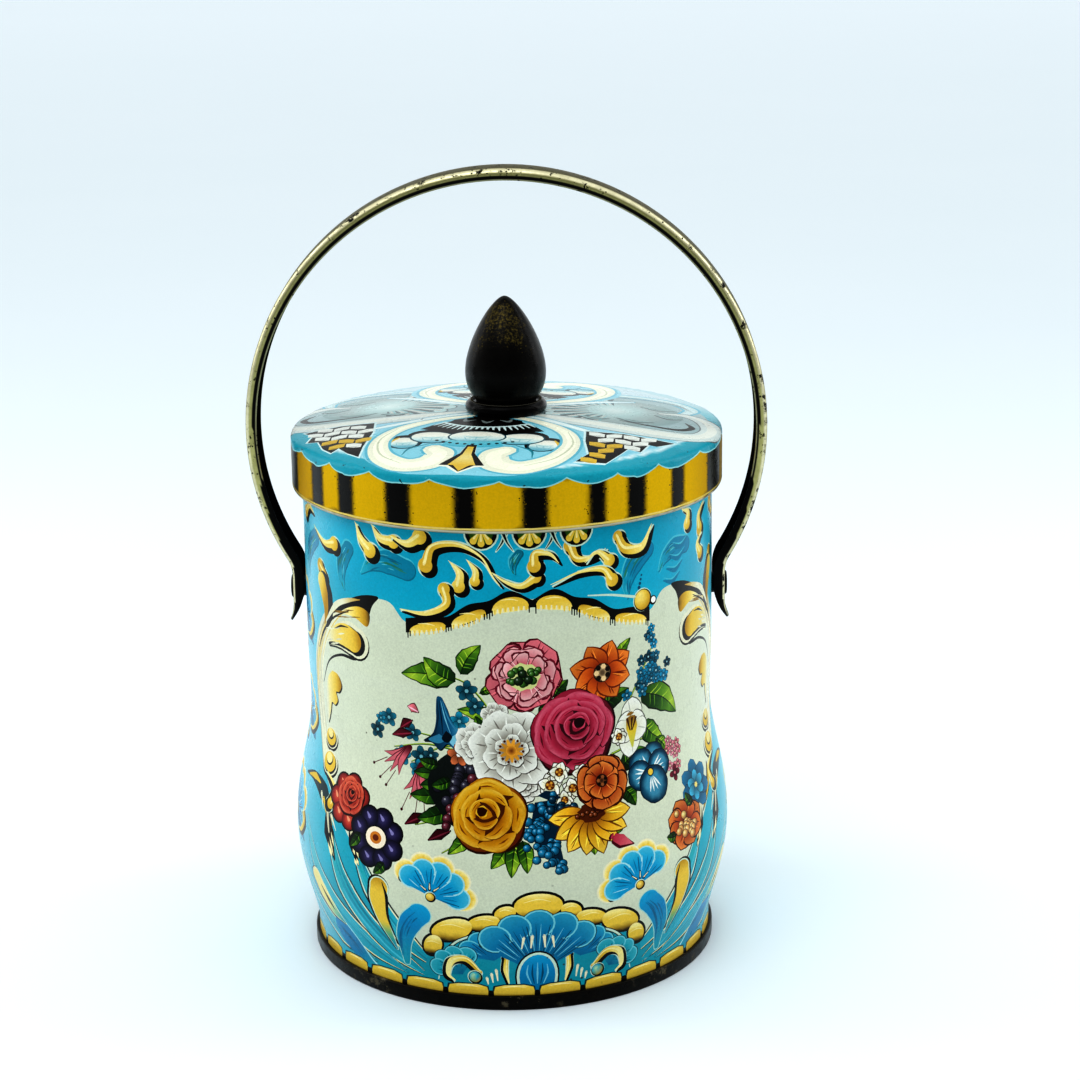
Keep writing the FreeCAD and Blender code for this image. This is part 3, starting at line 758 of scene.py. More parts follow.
def ruffled(s, c, r, tones, rng, layers=((1.0, 7), (0.68, 6), (0.42, 5)), eye_tones=None):
    """A double flower whose petals have scalloped edges."""
    line, shade, body_c, light = tones
    c = np.array(c, float)
    for size, petals in layers:
        turn = rng.uniform(0, 50)
        for k in range(petals):
            deg = turn + 360 * k / petals
            pc = np.array(spot(c, deg, r * size * 0.52))
            w = r * size * (0.50 if petals > 5 else 0.46)
            ol = blob(pc, w * 1.0, w * 0.92, deg, 30, 6, 0.10, rng.uniform(0, 1))
            s.add(ol + (pc - c) / (np.linalg.norm(pc - c) + 1e-9) * 0.16 + [0.1, -0.12], flat(line))
            s.add(ol, radial(c, r * size * 1.02, [(0.15, shade * 0.8), (0.5, shade), (0.8, body_c),
                                                  (1.0, light)]))
            for q in (-0.5, 0.1, 0.6):
                a, b = spot(c, deg + q * 26, r * size * 0.5), spot(c, deg + q * 34, r * size * 0.86)
                s.add(ribbon([a, b], [0.05, 0.05 * r * size + 0.05, 0.05], 3),
                      flat(shade * 0.86 if q > 0 else light))
    if eye_tones:
        e_line, e_dark, e_light = eye_tones
        for k in range(11):
            p = spot(c, 33 * k + 10, r * 0.26)
            s.add(ribbon([c, p], [0.08 * r, 0.11 * r, 0.06 * r], 3), flat(e_light * rng.uniform(0.82, 1.0)))
            s.add(blob(spot(c, 33 * k + 25, r * 0.28), 0.035 * r, n=6), flat(e_line))
        s.add(blob(c, 0.13 * r, n=10), radial(c, 0.13 * r, [(0, e_dark), (1, e_light)]))


def pansy(s, c, r, tones, turn=0.0):
    """A five-petalled face flower: pale petals with a dark rim and dark rays from the eye."""
    line, rim, field, ray = tones
    c = np.array(c, float)
    for deg, reach, size in ((55, 0.52, 0.56), (125, 0.52, 0.56), (10, 0.50, 0.52), (170, 0.50, 0.52),
                             (270, 0.46, 0.66)):
        pc = np.array(spot(c, deg + turn, r * reach))
        s.add(blob(pc, r * size + 0.22, lobes=7, deep=0.05, n=22), flat(line))
        s.add(blob(pc, r * size, lobes=7, deep=0.05, n=22),
              radial(pc, r * size, [(0, field), (0.62, field), (0.86, rim), (1, rim * 0.8)]))
        for q in (-22, -8, 8, 22):
            a, b = spot(c, deg + turn + q * 0.8, r * 0.2), spot(c, deg + turn + q, r * 0.72)
            s.add(ribbon([a, b], [0.05, 0.10 * r, 0.05], 3), flat(ray))
    s.add(blob(c, 0.16 * r, n=10), flat(line))
    s.add(blob(c, 0.12 * r, n=10), flat(GOLD))


def floret(s, c, r, tone, rng, petals=5, heart=CREAM):
    for k in range(petals):
        deg = 90 + 360 * k / petals + rng.uniform(-8, 8)
        p = spot(c, deg, r * 0.55)
        s.add(blob(p, r * 0.50 + 0.12, r * 0.36 + 0.12, deg, 9), flat(tone * 0.35))
        s.add(blob(p, r * 0.50, r * 0.36, deg, 9), ramp(c, spot(c, deg, r),
                                                        [(0, tone * 0.6),
                (1, np.clip(tone * 1.25 + 0.08, 0, 1))]))
    s.add(blob(c, r * 0.2, n=6), flat(heart))


def berries(s, centres, r, tone, rng):
    for p in centres:
        q = r * rng.uniform(0.82, 1.12)
        s.add(blob(p, q + 0.14, n=10), flat(tone * 0.22))
        s.add(blob(p, q, n=10), radial((p[0] - 0.3 * q, p[1] + 0.3 * q), 1.5 * q,
                                       [(0, np.clip(tone * 1.5 + 0.12, 0, 1)), (0.5, tone),
                                        (1, tone * 0.55)]))
        s.add(blob((p[0] - 0.35 * q, p[1] + 0.35 * q), q * 0.2, n=5), flat(np.clip(tone * 0.4 + 0.6, 0, 1)))


def drift(rng, path, widths, count):
    """Scattered places along a path, for berries and buds."""
    line = curve(path, 10)
    out = []
    for _ in range(count):
        t = rng.uniform(0, 1)
        w = np.interp(t, np.linspace(0, 1, len(widths)), widths)
        out.append(line[int(t * (len(line) - 1))] + rng.uniform(-w, w, 2))
    return sorted(out, key=lambda p: -p[1])


def bell(s, base, tip, r, tones):
    """A nodding trumpet, from its stalk end at base to its open mouth at tip."""
    dark, mid_c, light = tones
    a, b = np.array(base, float), np.array(tip, float)
    size = np.linalg.norm(b - a)
    d = (b - a) / size
    n = np.array([-d[1], d[0]])

    def at(*points):
        return [a + d * size * t + n * r * w for t, w in points]

    tube = curve(at((0, 0.10), (0.25, 0.26), (0.5, 0.36), (0.72, 0.62), (0.86, 1.15), (0.98, 0.86),
                    (1.02, 0.55), (1.16, 0.34), (1.0, 0.0),
                    (1.12, -0.40), (0.94, -0.72), (0.90, -1.10), (0.76, -0.60), (0.5, -0.34),
                        (0.25, -0.24), (0, -0.10), (0, 0.10)), 5)
    s.add(tube + [0.25, -0.25], flat(dark * 0.5))
    s.add(tube, ramp(a - n * r * 0.8, a + n * r * 0.9, [(0, dark * 0.8), (0.35, mid_c * 0.8),
                                                        (0.6, mid_c), (1, light)]))
    s.add(curve(at((0.80, 0.50), (0.86, 0.95), (0.96, 0.60), (1.08, 0.32), (0.92, 0.10), (0.80, 0.50)),
                5), flat(light * 0.9 + 0.1))
    s.add(curve(at((0.78, -0.30), (0.88, -0.85), (0.98, -0.40), (0.90, -0.05), (0.78, -0.30)), 5),
          flat(mid_c * 0.6 + light * 0.4))
    s.add(curve(at((0.72, 0.05), (0.86, 0.28), (0.98, 0.02), (0.88, -0.22), (0.72, 0.05)), 5),
          flat(dark * 0.55))
    for q, tone in ((-0.55, dark), (-0.15, dark * 0.8), (0.25, light), (0.6, mid_c * 0.5 + light * 0.5)):
        s.add(ribbon(at((0.08, q * 0.2), (0.45, q * 0.4), (0.78, q * 0.9)), [0.1, 0.36, 0.12], 3),
              flat(tone))


def shell_fan(s, c, r, lobes, start, sweep, tones, rng, gold=True, hairs=3):
    """A fan of rounded lobes round c, with gold crescents outside, black between and brush hairs inside."""
    deep, body_c, light = tones
    step = sweep / lobes
    for k in range(lobes):
        deg = start + step * (k + 0.5)
        lobe_r = r * math.sin(math.radians(step / 2)) * 1.12
        p = spot(c, deg, r - lobe_r * 0.75)
        if gold:
            q = spot(c, deg, r - lobe_r * 0.75 + 0.14 * r)
            s.add(blob(spot(c, deg, r - lobe_r * 0.75 + 0.17 * r), lobe_r * 1.16, n=18), flat(CREAM))
            s.add(blob(q, lobe_r * 1.10, n=18), radial(q, lobe_r * 1.1, [(0, GOLD, 1), (0.8, GOLD, 1),
                    (1, GOLD_LIGHT, 1)]))
        s.add(blob(spot(c, deg + step / 2, r * 0.90), lobe_r * 0.34, n=10),
              flat(BLACK if gold else TEAL_DARK * 0.45))
    if not gold:
        for k in range(lobes):
            deg = start + step * (k + 0.5)
            lobe_r = r * math.sin(math.radians(step / 2)) * 1.12
            s.add(blob(spot(c, deg, r - lobe_r * 0.75), lobe_r + 0.42, n=18), flat(TEAL_DARK * 0.45))
    for k in range(lobes):
        deg = start + step * (k + 0.5)
        lobe_r = r * math.sin(math.radians(step / 2)) * 1.12
        p = spot(c, deg, r - lobe_r * 0.75)
        s.add(blob(p, lobe_r + 0.22, n=18), flat(light))
        s.add(blob(p, lobe_r * 0.94, n=18),
              radial(c, r, [(0.2, deep), (0.7, body_c), (1, body_c * 0.6 + light * 0.4)]))
    a = np.radians(np.linspace(start - 4, start + sweep + 4, 20))
    inner = np.stack([c[0] + np.cos(a) * r * 0.66, c[1] + np.sin(a) * r * 0.66], 1)
    s.add(np.concatenate([inner, [c]]), radial(c, r, [(0, deep), (0.4, body_c * 0.7 + deep * 0.3),
                                                      (1, body_c)]))
    for k in range(lobes):
        deg = start + step * (k + 0.5)
        for q in range(hairs):
            dd = deg + (q - (hairs - 1) / 2) * step / (hairs + 0.6)
            s.add(ribbon([spot(c, dd, r * 0.38), spot(c, dd, r * rng.uniform(0.7, 0.86))],
                         [0.06, 0.30, 0.06], 3), flat(light if q % 2 else deep * 0.8))
        s.add(ribbon([spot(c, deg - step / 2, r * 0.3), spot(c, deg - step / 2, r * 0.82)],
                     [0.15, 0.34, 0.2], 3), flat(deep * 0.7))


# ---- the body's print: v is measured along the girth from the middle of the panel, z is height ----
def body_ground(p):
    """Turquoise ground, deeper in the top band and greener low down, with a soft streaky drift, and painted
    pale towards the panel's sides as a painted reflection.
    """
    v, z = p[:, 0], p[:, 1]
    c = stops_at(z / 135, [(0, TEAL_LOW), (0.10, TEAL_LOW), (0.35, TEAL * 0.98), (0.7, TEAL),
                           (0.78, TEAL_TOP), (1, TEAL_TOP)])
    # painted reflection: the ground turns pale towards the sides of the panel, where the rounded body
    # reflects the bright room
    pale = np.clip((np.abs(v) - 50) / 20, 0, 1)[:, None] * 0.62
    c[:, :3] = c[:, :3] * (1 - pale) + rgb(150, 206, 224) * pale
    drift_k = 0.035 * np.sin(0.23 * z + 0.6 * np.sin(0.11 * v)) * np.cos(v * TAU * 3 / HALF_WIDE)
    c[:, :3] *= (1 + drift_k)[:, None]
    return c


def panel_edge():
    top = [(-41.5, 102.8), (-36, 102.4), (-31.5, 98.2), (-24, 98.8), (-17, 101.2), (-10, 104.6),
           (-4, 106.4), (0, 105.2)]
    side = [(41.5, 102.8), (50, 101.0), (58, 97.5), (65, 91), (69, 82), (69.5, 72), (67.5, 63),
            (63.5, 55.5), (57, 49.5), (51, 43.5),
            (45, 37), (40, 29.5), (34.5, 21), (29, 14), (16, 13), (0, 13)]
    right_top = mirror(top[:-1], 0)[::-1]
    left_side = mirror(side[:-1], 0)[::-1]
    return curve([*top, *right_top[:-1], *side, *left_side[:-1], top[0]], 5)[:-1]


def paint_band(s, rng):
    """The top band: tone on tone leaves, then gold commas and scrolls."""
    soft, deep = TEAL_TOP * 0.62 + BLUE * 0.22, TEAL_TOP * 0.42 + BLUE * 0.46
    for x, z, r, turn, tone in ((-50.5, 109, 4.6, 80, soft), (-37, 110, 6.0, 12, soft),
                                (28, 109, 5.4, 62, deep),
                                (41, 110, 5.0, 22, deep), (-69, 108, 5.5, 60, deep),
                                    (70, 107, 5.5, 120, soft),
                                (-3.5, 114.4, 2.2, 80, TEAL_DARK)):
        line = [spot((x, z), turn, r), spot((x, z), turn + 70, 0.42 * r), spot((x, z), turn + 150,
                0.75 * r), spot((x, z), turn + 180, 1.35 * r)]
        wide = np.array((0.80, 0.95, 0.60, 0.06)) * r
        drop(s, line, wide, 0.5, (-0.12, 0.22), flat(TEAL * 0.66 + PALE * 0.34))
        drop(s, line, wide, 0.3, (0.15, -0.2), flat(tone * 0.86))
        drop(s, line, wide, 0, (0, 0), ramp(line[0], line[-1],
                                            [(0, tone), (0.5, tone * 0.8 + TEAL * 0.2), (1, TEAL)]))
        streaks(s, line, 7, 0.30 * r, 0.5, tone * 0.86, rng, 0.6)
        streaks(s, line, 5, 0.26 * r, 0.4, TEAL * 0.5 + LEAF_MID * 0.3, rng, 0.5)
        streaks(s, line, 4, 0.28 * r, 0.3, TEAL * 0.6 + PALE * 0.4, rng, 0.5)
    for k in range(4):
        x, z = 36.5 + 1.2 * k, 104.6 + 2.7 * k
        s.add(ribbon([(x, z), (x + 3.5, z - 0.9), (x + 6.8, z + 0.8)], [0.3, 1.5, 0.2], 4),
              flat(deep * 0.94))
        s.add(ribbon([(x, z + 0.7), (x + 3.5, z - 0.2), (x + 6.6, z + 1.3)], [0.1, 0.45, 0.1], 4),
              flat(TEAL * 0.72 + PALE * 0.28))
    bulbs = [  # bulb first, tail last, then the widths
        ([(-41.8, 114.4), (-44.8, 117.0), (-46.2, 120.4)], (4.6, 3.4, 0.7)),
        ([(-34.5, 117.6), (-38.4, 118.0), (-40.8, 120.8)], (4.0, 3.2, 0.8)),
        ([(-27.2, 119.6), (-30.6, 117.6), (-35.2, 118.8)], (4.4, 3.2, 0.6)),
        ([(-55.5, 113.4), (-60.5, 112.6), (-66.5, 115.4)], (4.2, 2.6, 0.6)),
        ([(-25.8, 112.8), (-23.8, 117.4), (-17.6, 118.4), (-12.0, 115.6), (-9.2, 110.8), (-7.6, 108.6)],
         (4.3, 3.0, 2.4, 1.6, 0.9, 0.4)),
        ([(-17.6, 108.2), (-17.2, 111.4), (-19.6, 114.2)], (3.8, 3.0, 0.5)),
        ([(-13.6, 109.6), (-13.4, 112.2), (-15.4, 114.8)], (2.9, 2.3, 0.4)),
        ([(-21.2, 107.4), (-20.8, 103.6), (-26.0, 100.9), (-33.0, 101.2)], (3.5, 3.0, 2.2, 0.5)),
        ([(0.9, 110.4), (-2.6, 108.4), (-6.4, 109.6), (-9.4, 111.8)], (3.3, 2.4, 1.6, 0.4)),
        ([(0.6, 113.2), (1.0, 116.2), (4.4, 115.9), (6.6, 113.6)], (3.8, 3.0, 2.0, 0.4)),
        ([(9.4, 117.6), (11.2, 114.2), (15.8, 114.2), (18.6, 115.8)], (3.7, 3.0, 1.6, 0.4)),
        ([(19.6, 112.8), (16.4, 115.2), (13.2, 113.0)], (3.6, 2.0, 0.4)),
        ([(20.4, 107.8), (17.8, 110.8), (11.6, 110.8), (4.6, 108.4)], (3.9, 2.7, 1.6, 0.4)),
        ([(22.0, 118.4), (24.2, 115.0), (29.2, 114.6), (32.4, 119.6)], (3.2, 4.0, 3.2, 0.5)),
        ([(46.8, 116.6), (47.2, 119.4), (44.4, 120.6)], (3.6, 2.8, 0.6)),
        ([(54.2, 113.6), (53.6, 117.2), (57.4, 119.8)], (4.2, 3.2, 0.7)),
        ([(54.6, 107.4), (52.8, 110.2), (55.6, 112.4)], (3.8, 2.8, 0.5)),
        ([(63.6, 118.2), (66.8, 115.0), (72.0, 116.6)], (4.2, 3.0, 0.5)),
        ([(-74.0, 117.4), (-70.4, 119.6), (-66.8, 118.6)], (3.8, 2.6, 0.5)),
        ([(62.6, 105.6), (60.2, 102.8), (62.8, 99.2)], (3.9, 3.0, 0.7)),
        ([(-63.4, 106.2), (-60.4, 103.6), (-62.4, 99.4)], (3.9, 3.0, 0.7))]
    for points, widths in bulbs:
        gold_scroll(s, points, widths)
    for x in (-12.0, -0.5, 11.0):
        s.add(blob((x, 121.6), 4.3, 4.4, n=20), flat(RIM))
        s.add(blob((x, 121.8), 3.9, 4.2, n=20), flat(BLACK))
        s.add(blob((x, 122.3), 3.1, 3.7, n=18), radial((x, 121), 4, [(0, LEAF_MID * 0.8), (1, LEAF_DARK)]))
        for q in (-1, 0, 1):
            s.add(ribbon([(x + 0.5 * q, 121.4), (x + 1.9 * q, 118.9 + 0.6 * abs(q))], [0.5, 1.7], 3),
                  flat(GOLD, 1))
            s.add(ribbon([(x + 0.5 * q, 121.8), (x + 1.7 * q, 119.6 + 0.6 * abs(q))], [0.3, 0.5], 3),
                  flat(GOLD_LIGHT, 1))
    for x in (-6.4, 5.2):
        for q in (-1, 1):
            s.add(ribbon([(x - 0.3 * q, 121.4), (x + 0.7 * q, 119.0), (x + 2.1 * q, 117.0)],
                         [1.3, 0.9, 0.4], 3), flat(RIM))
            s.add(ribbon([(x - 0.3 * q, 121.4), (x + 0.6 * q, 119.2), (x + 1.9 * q, 117.3)],
                         [0.7, 0.35, 0.15], 3), flat(BLACK))


def paint_lambrequin(s, rng):
    """Gold lobes along the top of the panel, black above and between them, with a ragged fringe below."""
    lobes = [(5.3, 104.4, 4.5, 2.3), (15.4, 100.9, 4.3, 2.1), (25.8, 97.7, 4.9, 1.8)]
    top = curve([(0.0, 105.0), (5.3, 107.4), (10.4, 105.0), (15.4, 103.9), (20.6, 100.7), (26.0, 100.2),
                 (31.6, 99.2)], 8)
    low = curve([(0.0, 103.2), (5.3, 102.9), (10.2, 101.9), (15.4, 99.2), (20.4, 98.0), (26.0, 96.4),
                 (31.6, 95.6)], 8)
    for sign in (1, -1):
        flip = np.array([sign, 1.0])
        s.add(np.concatenate([top, low[::-1]]) * flip, flat(BLACK))
        for x, z, rx, rz in lobes:
            a = np.linspace(0, math.pi, 15)
            across, up = x + rx * np.cos(a), np.sin(a) ** 0.7 * 1.45 * rz
            foot = np.interp(across, low[:, 0], low[:, 1]) - 0.35
            s.add(np.stack([sign * across, foot + up], 1),
                  ramp((sign * x, z + rz), (sign * x, z - rz), [(0, GOLD_DARK, 1), (0.3, GOLD, 1),
                          (0.7, GOLD, 1), (1, GOLD_LIGHT, 1)]))
            s.add(ribbon([(sign * x - 0.5 * rx, z + 0.30 * rz), (sign * x, z + 0.42 * rz),
                          (sign * x + 0.4 * rx, z + 0.26 * rz)], [0.1, 0.35, 0.1], 4),
                  flat(GOLD_LIGHT, 1))
        for k in range(49):
            x = 0.8 + 0.63 * k
            z = float(np.interp(x, low[:, 0], low[:, 1]))
            gap = min(abs(x - lobe[0]) - 0.9 * lobe[2] for lobe in lobes)
            tone, metal = (BLACK, 0) if gap > 0 else ((GOLD, 1) if k % 2 else (CREAM, 0))
            size = rng.uniform(0.9, 1.6) if gap > 0 else rng.uniform(0.4, 0.9)
            s.add(np.array([(sign * (x - 0.17), z + 0.5), (sign * (x + 0.17), z + 0.5),
                            (sign * (x + 0.14), z - size), (sign * (x - 0.14), z - size)]),
                  flat(tone, metal))
    bead(s, (29.3, 101.4), 2.5)
    s.add(blob((32.8, 100.6), 1.2), flat(BLACK))
    s.add(blob((32.9, 100.7), 0.8), flat(WHITE))
    sprig(s, [(26.8, 102.6), (20.0, 104.2), (13.8, 104.9)], 0.7, RIM)
    for k in range(4):
        s.add(blob((28.2 + 0.25 * k, 104.6 + 1.0 * k), 0.5 - 0.07 * k, n=7), flat(BLUE * 0.6))


def scroll_stem(s, sign, rng):
    """Soft cream stem with a shaded inner line and brush hairs."""
    at = sided(sign)
    stem = ((46, 101.0), (55, 96.6), (62.5, 89), (66.5, 80), (67.0, 70), (65.0, 62), (61.0, 54.5))
    s.add(ribbon(at(*stem), [1.0, 3.4, 4.6, 5.0, 5.0, 4.2, 1.2], 7), flat(STEM))
    s.add(ribbon([(x + sign * 2.0, z) for x, z in at(*stem[1:])], [0.2, 0.5, 0.6, 0.6, 0.5, 0.2], 7),
          flat(STEM * 0.72))
    streaks(s, at(*stem), 12, 2.2, 0.4, STEM * 0.86, rng)
    streaks(s, at(*stem), 8, 2.0, 0.4, GOLD * 0.6 + CREAM * 0.4, rng)


def scroll_upper_leaf(s, sign):
    """Gold leaf outside the stem."""
    at = sided(sign)
    drop(s, at((62.6, 102.2), (60.8, 99.4), (60.0, 95.0), (61.6, 91.0)), (5.6, 5.2, 3.0, 0.4), 0.5,
         (-0.9 * sign, -0.2), flat(BLACK))
    drop(s, at((63.0, 102.4), (61.6, 99.4), (60.8, 95.4), (61.8, 91.6)), (4.4, 4.0, 2.2, 0.3), 0, (0, 0),
         ramp(at((60, 100))[0], at((66, 102))[0], [(0, GOLD_DARK, 1), (0.4, GOLD, 1), (1, GOLD_LIGHT, 1)]))


def scroll_leaf_tip(s, sign, rng):
    """Black leaf tip with gold in its folds."""
    at = sided(sign)
    s.add(curve(at((57.5, 95.4), (51.5, 99.9), (45.0, 102.7), (39.6, 103.2), (41.6, 100.6),
                   (43.6, 96.4), (46.0, 98.4), (50.6, 97.8), (57.5, 95.4)), 6), flat(BLACK))
    s.add(ribbon(at((61.0, 92.6), (55.6, 98.0), (50.2, 100.4), (45.8, 101.4)), [0.5, 1.7, 1.2, 0.2], 6),
          ramp(at((61, 93))[0], at((45, 101))[0], [(0, STEM), (0.6, STEM), (1, GOLD_DARK)]))
    s.add(curve(at((55.6, 95.6), (50.6, 98.4), (46.0, 99.6), (42.8, 98.6), (42.6, 96.6), (43.8, 95.0),
                   (47.4, 96.4), (51.0, 96.6), (55.6, 95.6)), 5),
          ramp(at((54, 97))[0], at((42, 98))[0], [(0, STEM, 0.3), (0.3, GOLD_LIGHT, 1), (0.6, GOLD, 1),
                                                  (0.85, GOLD_DARK, 1), (1, BLACK, 0)]))
    streaks(s, at((56.0, 95.8), (44.0, 98.0)), 8, 1.0, 0.35, GOLD_DARK * 0.8, rng, 0.5)
    s.add(ribbon(at((66.0, 84.5), (62.6, 89.6), (57.0, 94.4), (50.0, 97.8)), [0.3, 0.7, 0.6, 0.2], 7),
          flat(BLACK))


def scroll_large_drop(s, sign, rng):
    """The large drop: pale rim, black line, gold body with a dark crescent at its head."""
    at = sided(sign)
    big = at((47.6, 90.2), (50.6, 90.9), (53.6, 90.6), (56.6, 89.4), (59.6, 87.4))
    wide = np.array((7.2, 7.8, 6.6, 4.0, 0.8))
    s.add(ribbon(at((44.2, 88.6), (48.0, 86.0), (54.0, 85.6), (60.0, 82.6), (64.0, 76.0)),
                 [0.5, 0.9, 0.7, 0.5, 0.2], 7), flat(BLACK))
    drop(s, big, wide, 0.9, (-0.5 * sign, -0.35), flat(BLACK))
    drop(s, big, wide, 0.6, (-0.35 * sign, 0.0), flat(STEM))
    drop(s, big, wide * 0.86, 0.0, (0, -0.25), flat(BLACK))
    drop(s, big, wide * 0.78, 0.0, (1.1 * sign, 0.2),
         ramp(at((46.4, 90))[0], at((60.0, 88))[0], [(0, GOLD_DARK, 1), (0.16, GOLD, 1),
                                                     (0.6, GOLD * 0.5 + GOLD_LIGHT * 0.5, 1),
                                                     (1, STEM, 0.2)]))
    streaks(s, at((60.5, 88.2), (52.0, 90.6)), 9, 2.6, 0.5, STEM * 0.98, rng, 0.5)
    s.add(ribbon(at((50.6, 93.4), (53.6, 93.1), (56.6, 91.8)), [0.15, 0.55, 0.1], 5), flat(BLACK))


def scroll_small_drops(s, sign):
    """A lobed gold leaf with two ringed drops under it."""
    at = sided(sign)
    lobed = at((58.6, 80.4), (55.8, 80.0), (54.4, 77.6), (55.6, 75.6), (57.2, 75.2), (56.6, 73.2),
               (58.0, 71.6), (59.8, 71.8), (60.6, 69.4),
               (62.4, 66.0), (62.6, 72.0), (61.4, 77.6), (58.6, 80.4))
    s.add(curve([(x - 0.45 * sign, z - 0.3) for x, z in lobed], 4), flat(BLACK))
    s.add(curve(lobed, 4), ramp(at((55, 76))[0], at((62, 76))[0], [(0, GOLD_DARK, 1), (0.25, GOLD, 1),
            (0.8, GOLD_LIGHT, 1), (1, STEM, 0.2)]))
    for x, z, r in ((60.6, 62.4, 3.4), (60.0, 56.2, 3.9)):
        for dx, dz, size, tone, metal in ((0.5, -0.55, 1.0, BLACK, 0), (0.3, -0.1, 0.94, STEM, 0),
                                          (0.25, -0.25, 0.80, BLACK, 0), (0, 0.1, 0.74, GOLD, 1),
                                          (-0.2, 0.7, 0.44, BLACK, 0), (-0.35, 1.0, 0.40, GOLD_LIGHT, 1)):
            s.add(blob((sign * (x - dx), z + dz), r * size, r * size * 0.86, n=22), flat(tone, metal))


def scroll_brush_tip(s, sign):
    """Brush tip in black and gold below the drops."""
    at = sided(sign)
    s.add(ribbon(at((73.0, 49.6), (67.0, 50.4), (60.6, 48.4), (54.6, 43.0)), [0.6, 2.6, 4.6, 0.8], 6),
          flat(BLACK * 0.7 + TEAL_DARK * 0.3))
    s.add(ribbon(at((71.0, 49.8), (66.6, 50.6), (63.0, 50.0)), [0.4, 1.7, 0.5], 6), flat(GOLD, 1))
    for q in range(5):
        s.add(ribbon(at((61.6 - 1.5 * q, 48.0 - 1.0 * q), (59.6 - 1.6 * q, 44.4 - 0.9 * q)),
                     [0.9, 0.15], 3), flat(GOLD if q % 2 else STEM, q % 2))


def paint_side_scrolls(s, rng):
    """Leaf scrolls at both sides of the panel, with drops that lean in to the ivory."""
    for sign in (1, -1):
        scroll_stem(s, sign, rng)
        scroll_upper_leaf(s, sign)
        scroll_leaf_tip(s, sign, rng)
        scroll_large_drop(s, sign, rng)
        scroll_small_drops(s, sign)
        scroll_brush_tip(s, sign)


def paint_between(s, rng):
    """The column between two panels: stacked palmettes with leaves, the same on both sides."""
    edge = HALF_WIDE / 2
    for z, r in ((96, 7.6), (71, 7.0), (44, 8.4)):
        for side in (-1, 1):
            leaf(s, (edge, z - 7), (edge + side * 10.5, z - 12.5), 5.4, 1.4 * side,
                 (BLUE * 0.7, BLUE, TEAL * 0.6 + PALE * 0.4), 3)
            gold_scroll(s, [(edge + side * 8.2, z - 3.2), (edge + side * 10.6, z - 6.8),
                            (edge + side * 7.2, z - 10.6), (edge + side * 2.0, z - 11.4)],
                        (3.2, 2.8, 2.0, 0.5))
        shell_fan(s, (edge, z - 7.0), r * 1.25, 5, 18, 144, (BLUE * 0.75, BLUE_SOFT, PALE), rng)
        bead(s, (edge, z - 7.4), 1.5)
    for z in (108.5, 82.0, 57.5, 31.5):
        for side in (-1, 1):
            s.add(ribbon([(edge, z - 3.4), (edge + side * 2.6, z), (edge + side * 0.4, z + 4.2)],
                         [0.4, 2.4, 0.3], 5), flat(PALE))
            s.add(ribbon([(edge, z - 3.4), (edge + side * 2.4, z), (edge + side * 0.4, z + 4.0)],
                         [0.2, 1.3, 0.2], 5), flat(BLUE))
        bead(s, (edge, z - 0.6), 1.1)


def paler(paint):
    """The same paint, painted paler towards the sides of the panel: a painted reflection."""
    def painted(p):
        c = paint(p)
        k = np.clip((np.abs(p[:, 0]) - 50) / 20, 0, 1)[:, None] * 0.55
        c[:, :3] = c[:, :3] * (1 - k) + rgb(176, 214, 226) * k
        return c
    return painted


def foot_blades(s, sign, rng):
    """Leaf blades that sweep up and outwards from the foot."""
    at = sided(sign)
    blades = [((28, 7), (39, 14), (50, 27), (57, 45), 5.4), ((34, 7), (47, 13), (60, 24), (68, 40),
            5.6), ((44, 7.5), (57, 11), (68, 18), (75, 29), 5.2),
              ((24, 9), (33, 17), (41, 29), (47.5, 43), 4.6)]
    for a, b, c, d, w in blades:
        s.add(ribbon(at(a, b, c, d), [0.8, w + 1.9, w + 1.6, 0.5], 8),
              paler(flat(BLACK * 0.7 + TEAL_DARK * 0.25)))
        s.add(ribbon(at(a, b, c, d), [0.6, w + 0.9, w + 0.6, 0.3], 8),
              paler(ramp(at(a)[0], at(d)[0], [(0, GOLD_LIGHT), (0.4, CREAM), (1, PALE)])))
        s.add(ribbon(at(a, b, c, d), [0.6, w, w - 0.4, 0.2], 8),
              paler(ramp(at(a)[0], at(d)[0], [(0, TEAL_LOW), (0.4, TEAL),
                                              (1, TEAL * 0.85 + LEAF_MID * 0.15)])))
        streaks(s, at(a, b, c, d), 4, w * 0.30, 0.6, TEAL_DARK * 0.6 + TEAL * 0.4, rng)
        streaks(s, at(a, b, c, d), 4, w * 0.30, 0.5, TEAL * 0.7 + PALE * 0.3, rng)
    for tip, w in (((53.4, 33.0), (56.0, 39.5), (58.0, 46.0)), 4.4), (((44.6, 34.4), (46.6, 39.4),
            (48.2, 44.6)), 3.0):
        s.add(ribbon(at(*tip), [0.4, w, 0.6], 7), flat(BLACK))
        streaks(s, at(tip[0], tip[1]), 4, w * 0.28, 0.8, GOLD_LIGHT * 0.5 + CREAM * 0.5, rng)
        s.add(ribbon(at(tip[1], tip[2]), [0.5, 1.2], 4), flat(CREAM * 0.9))


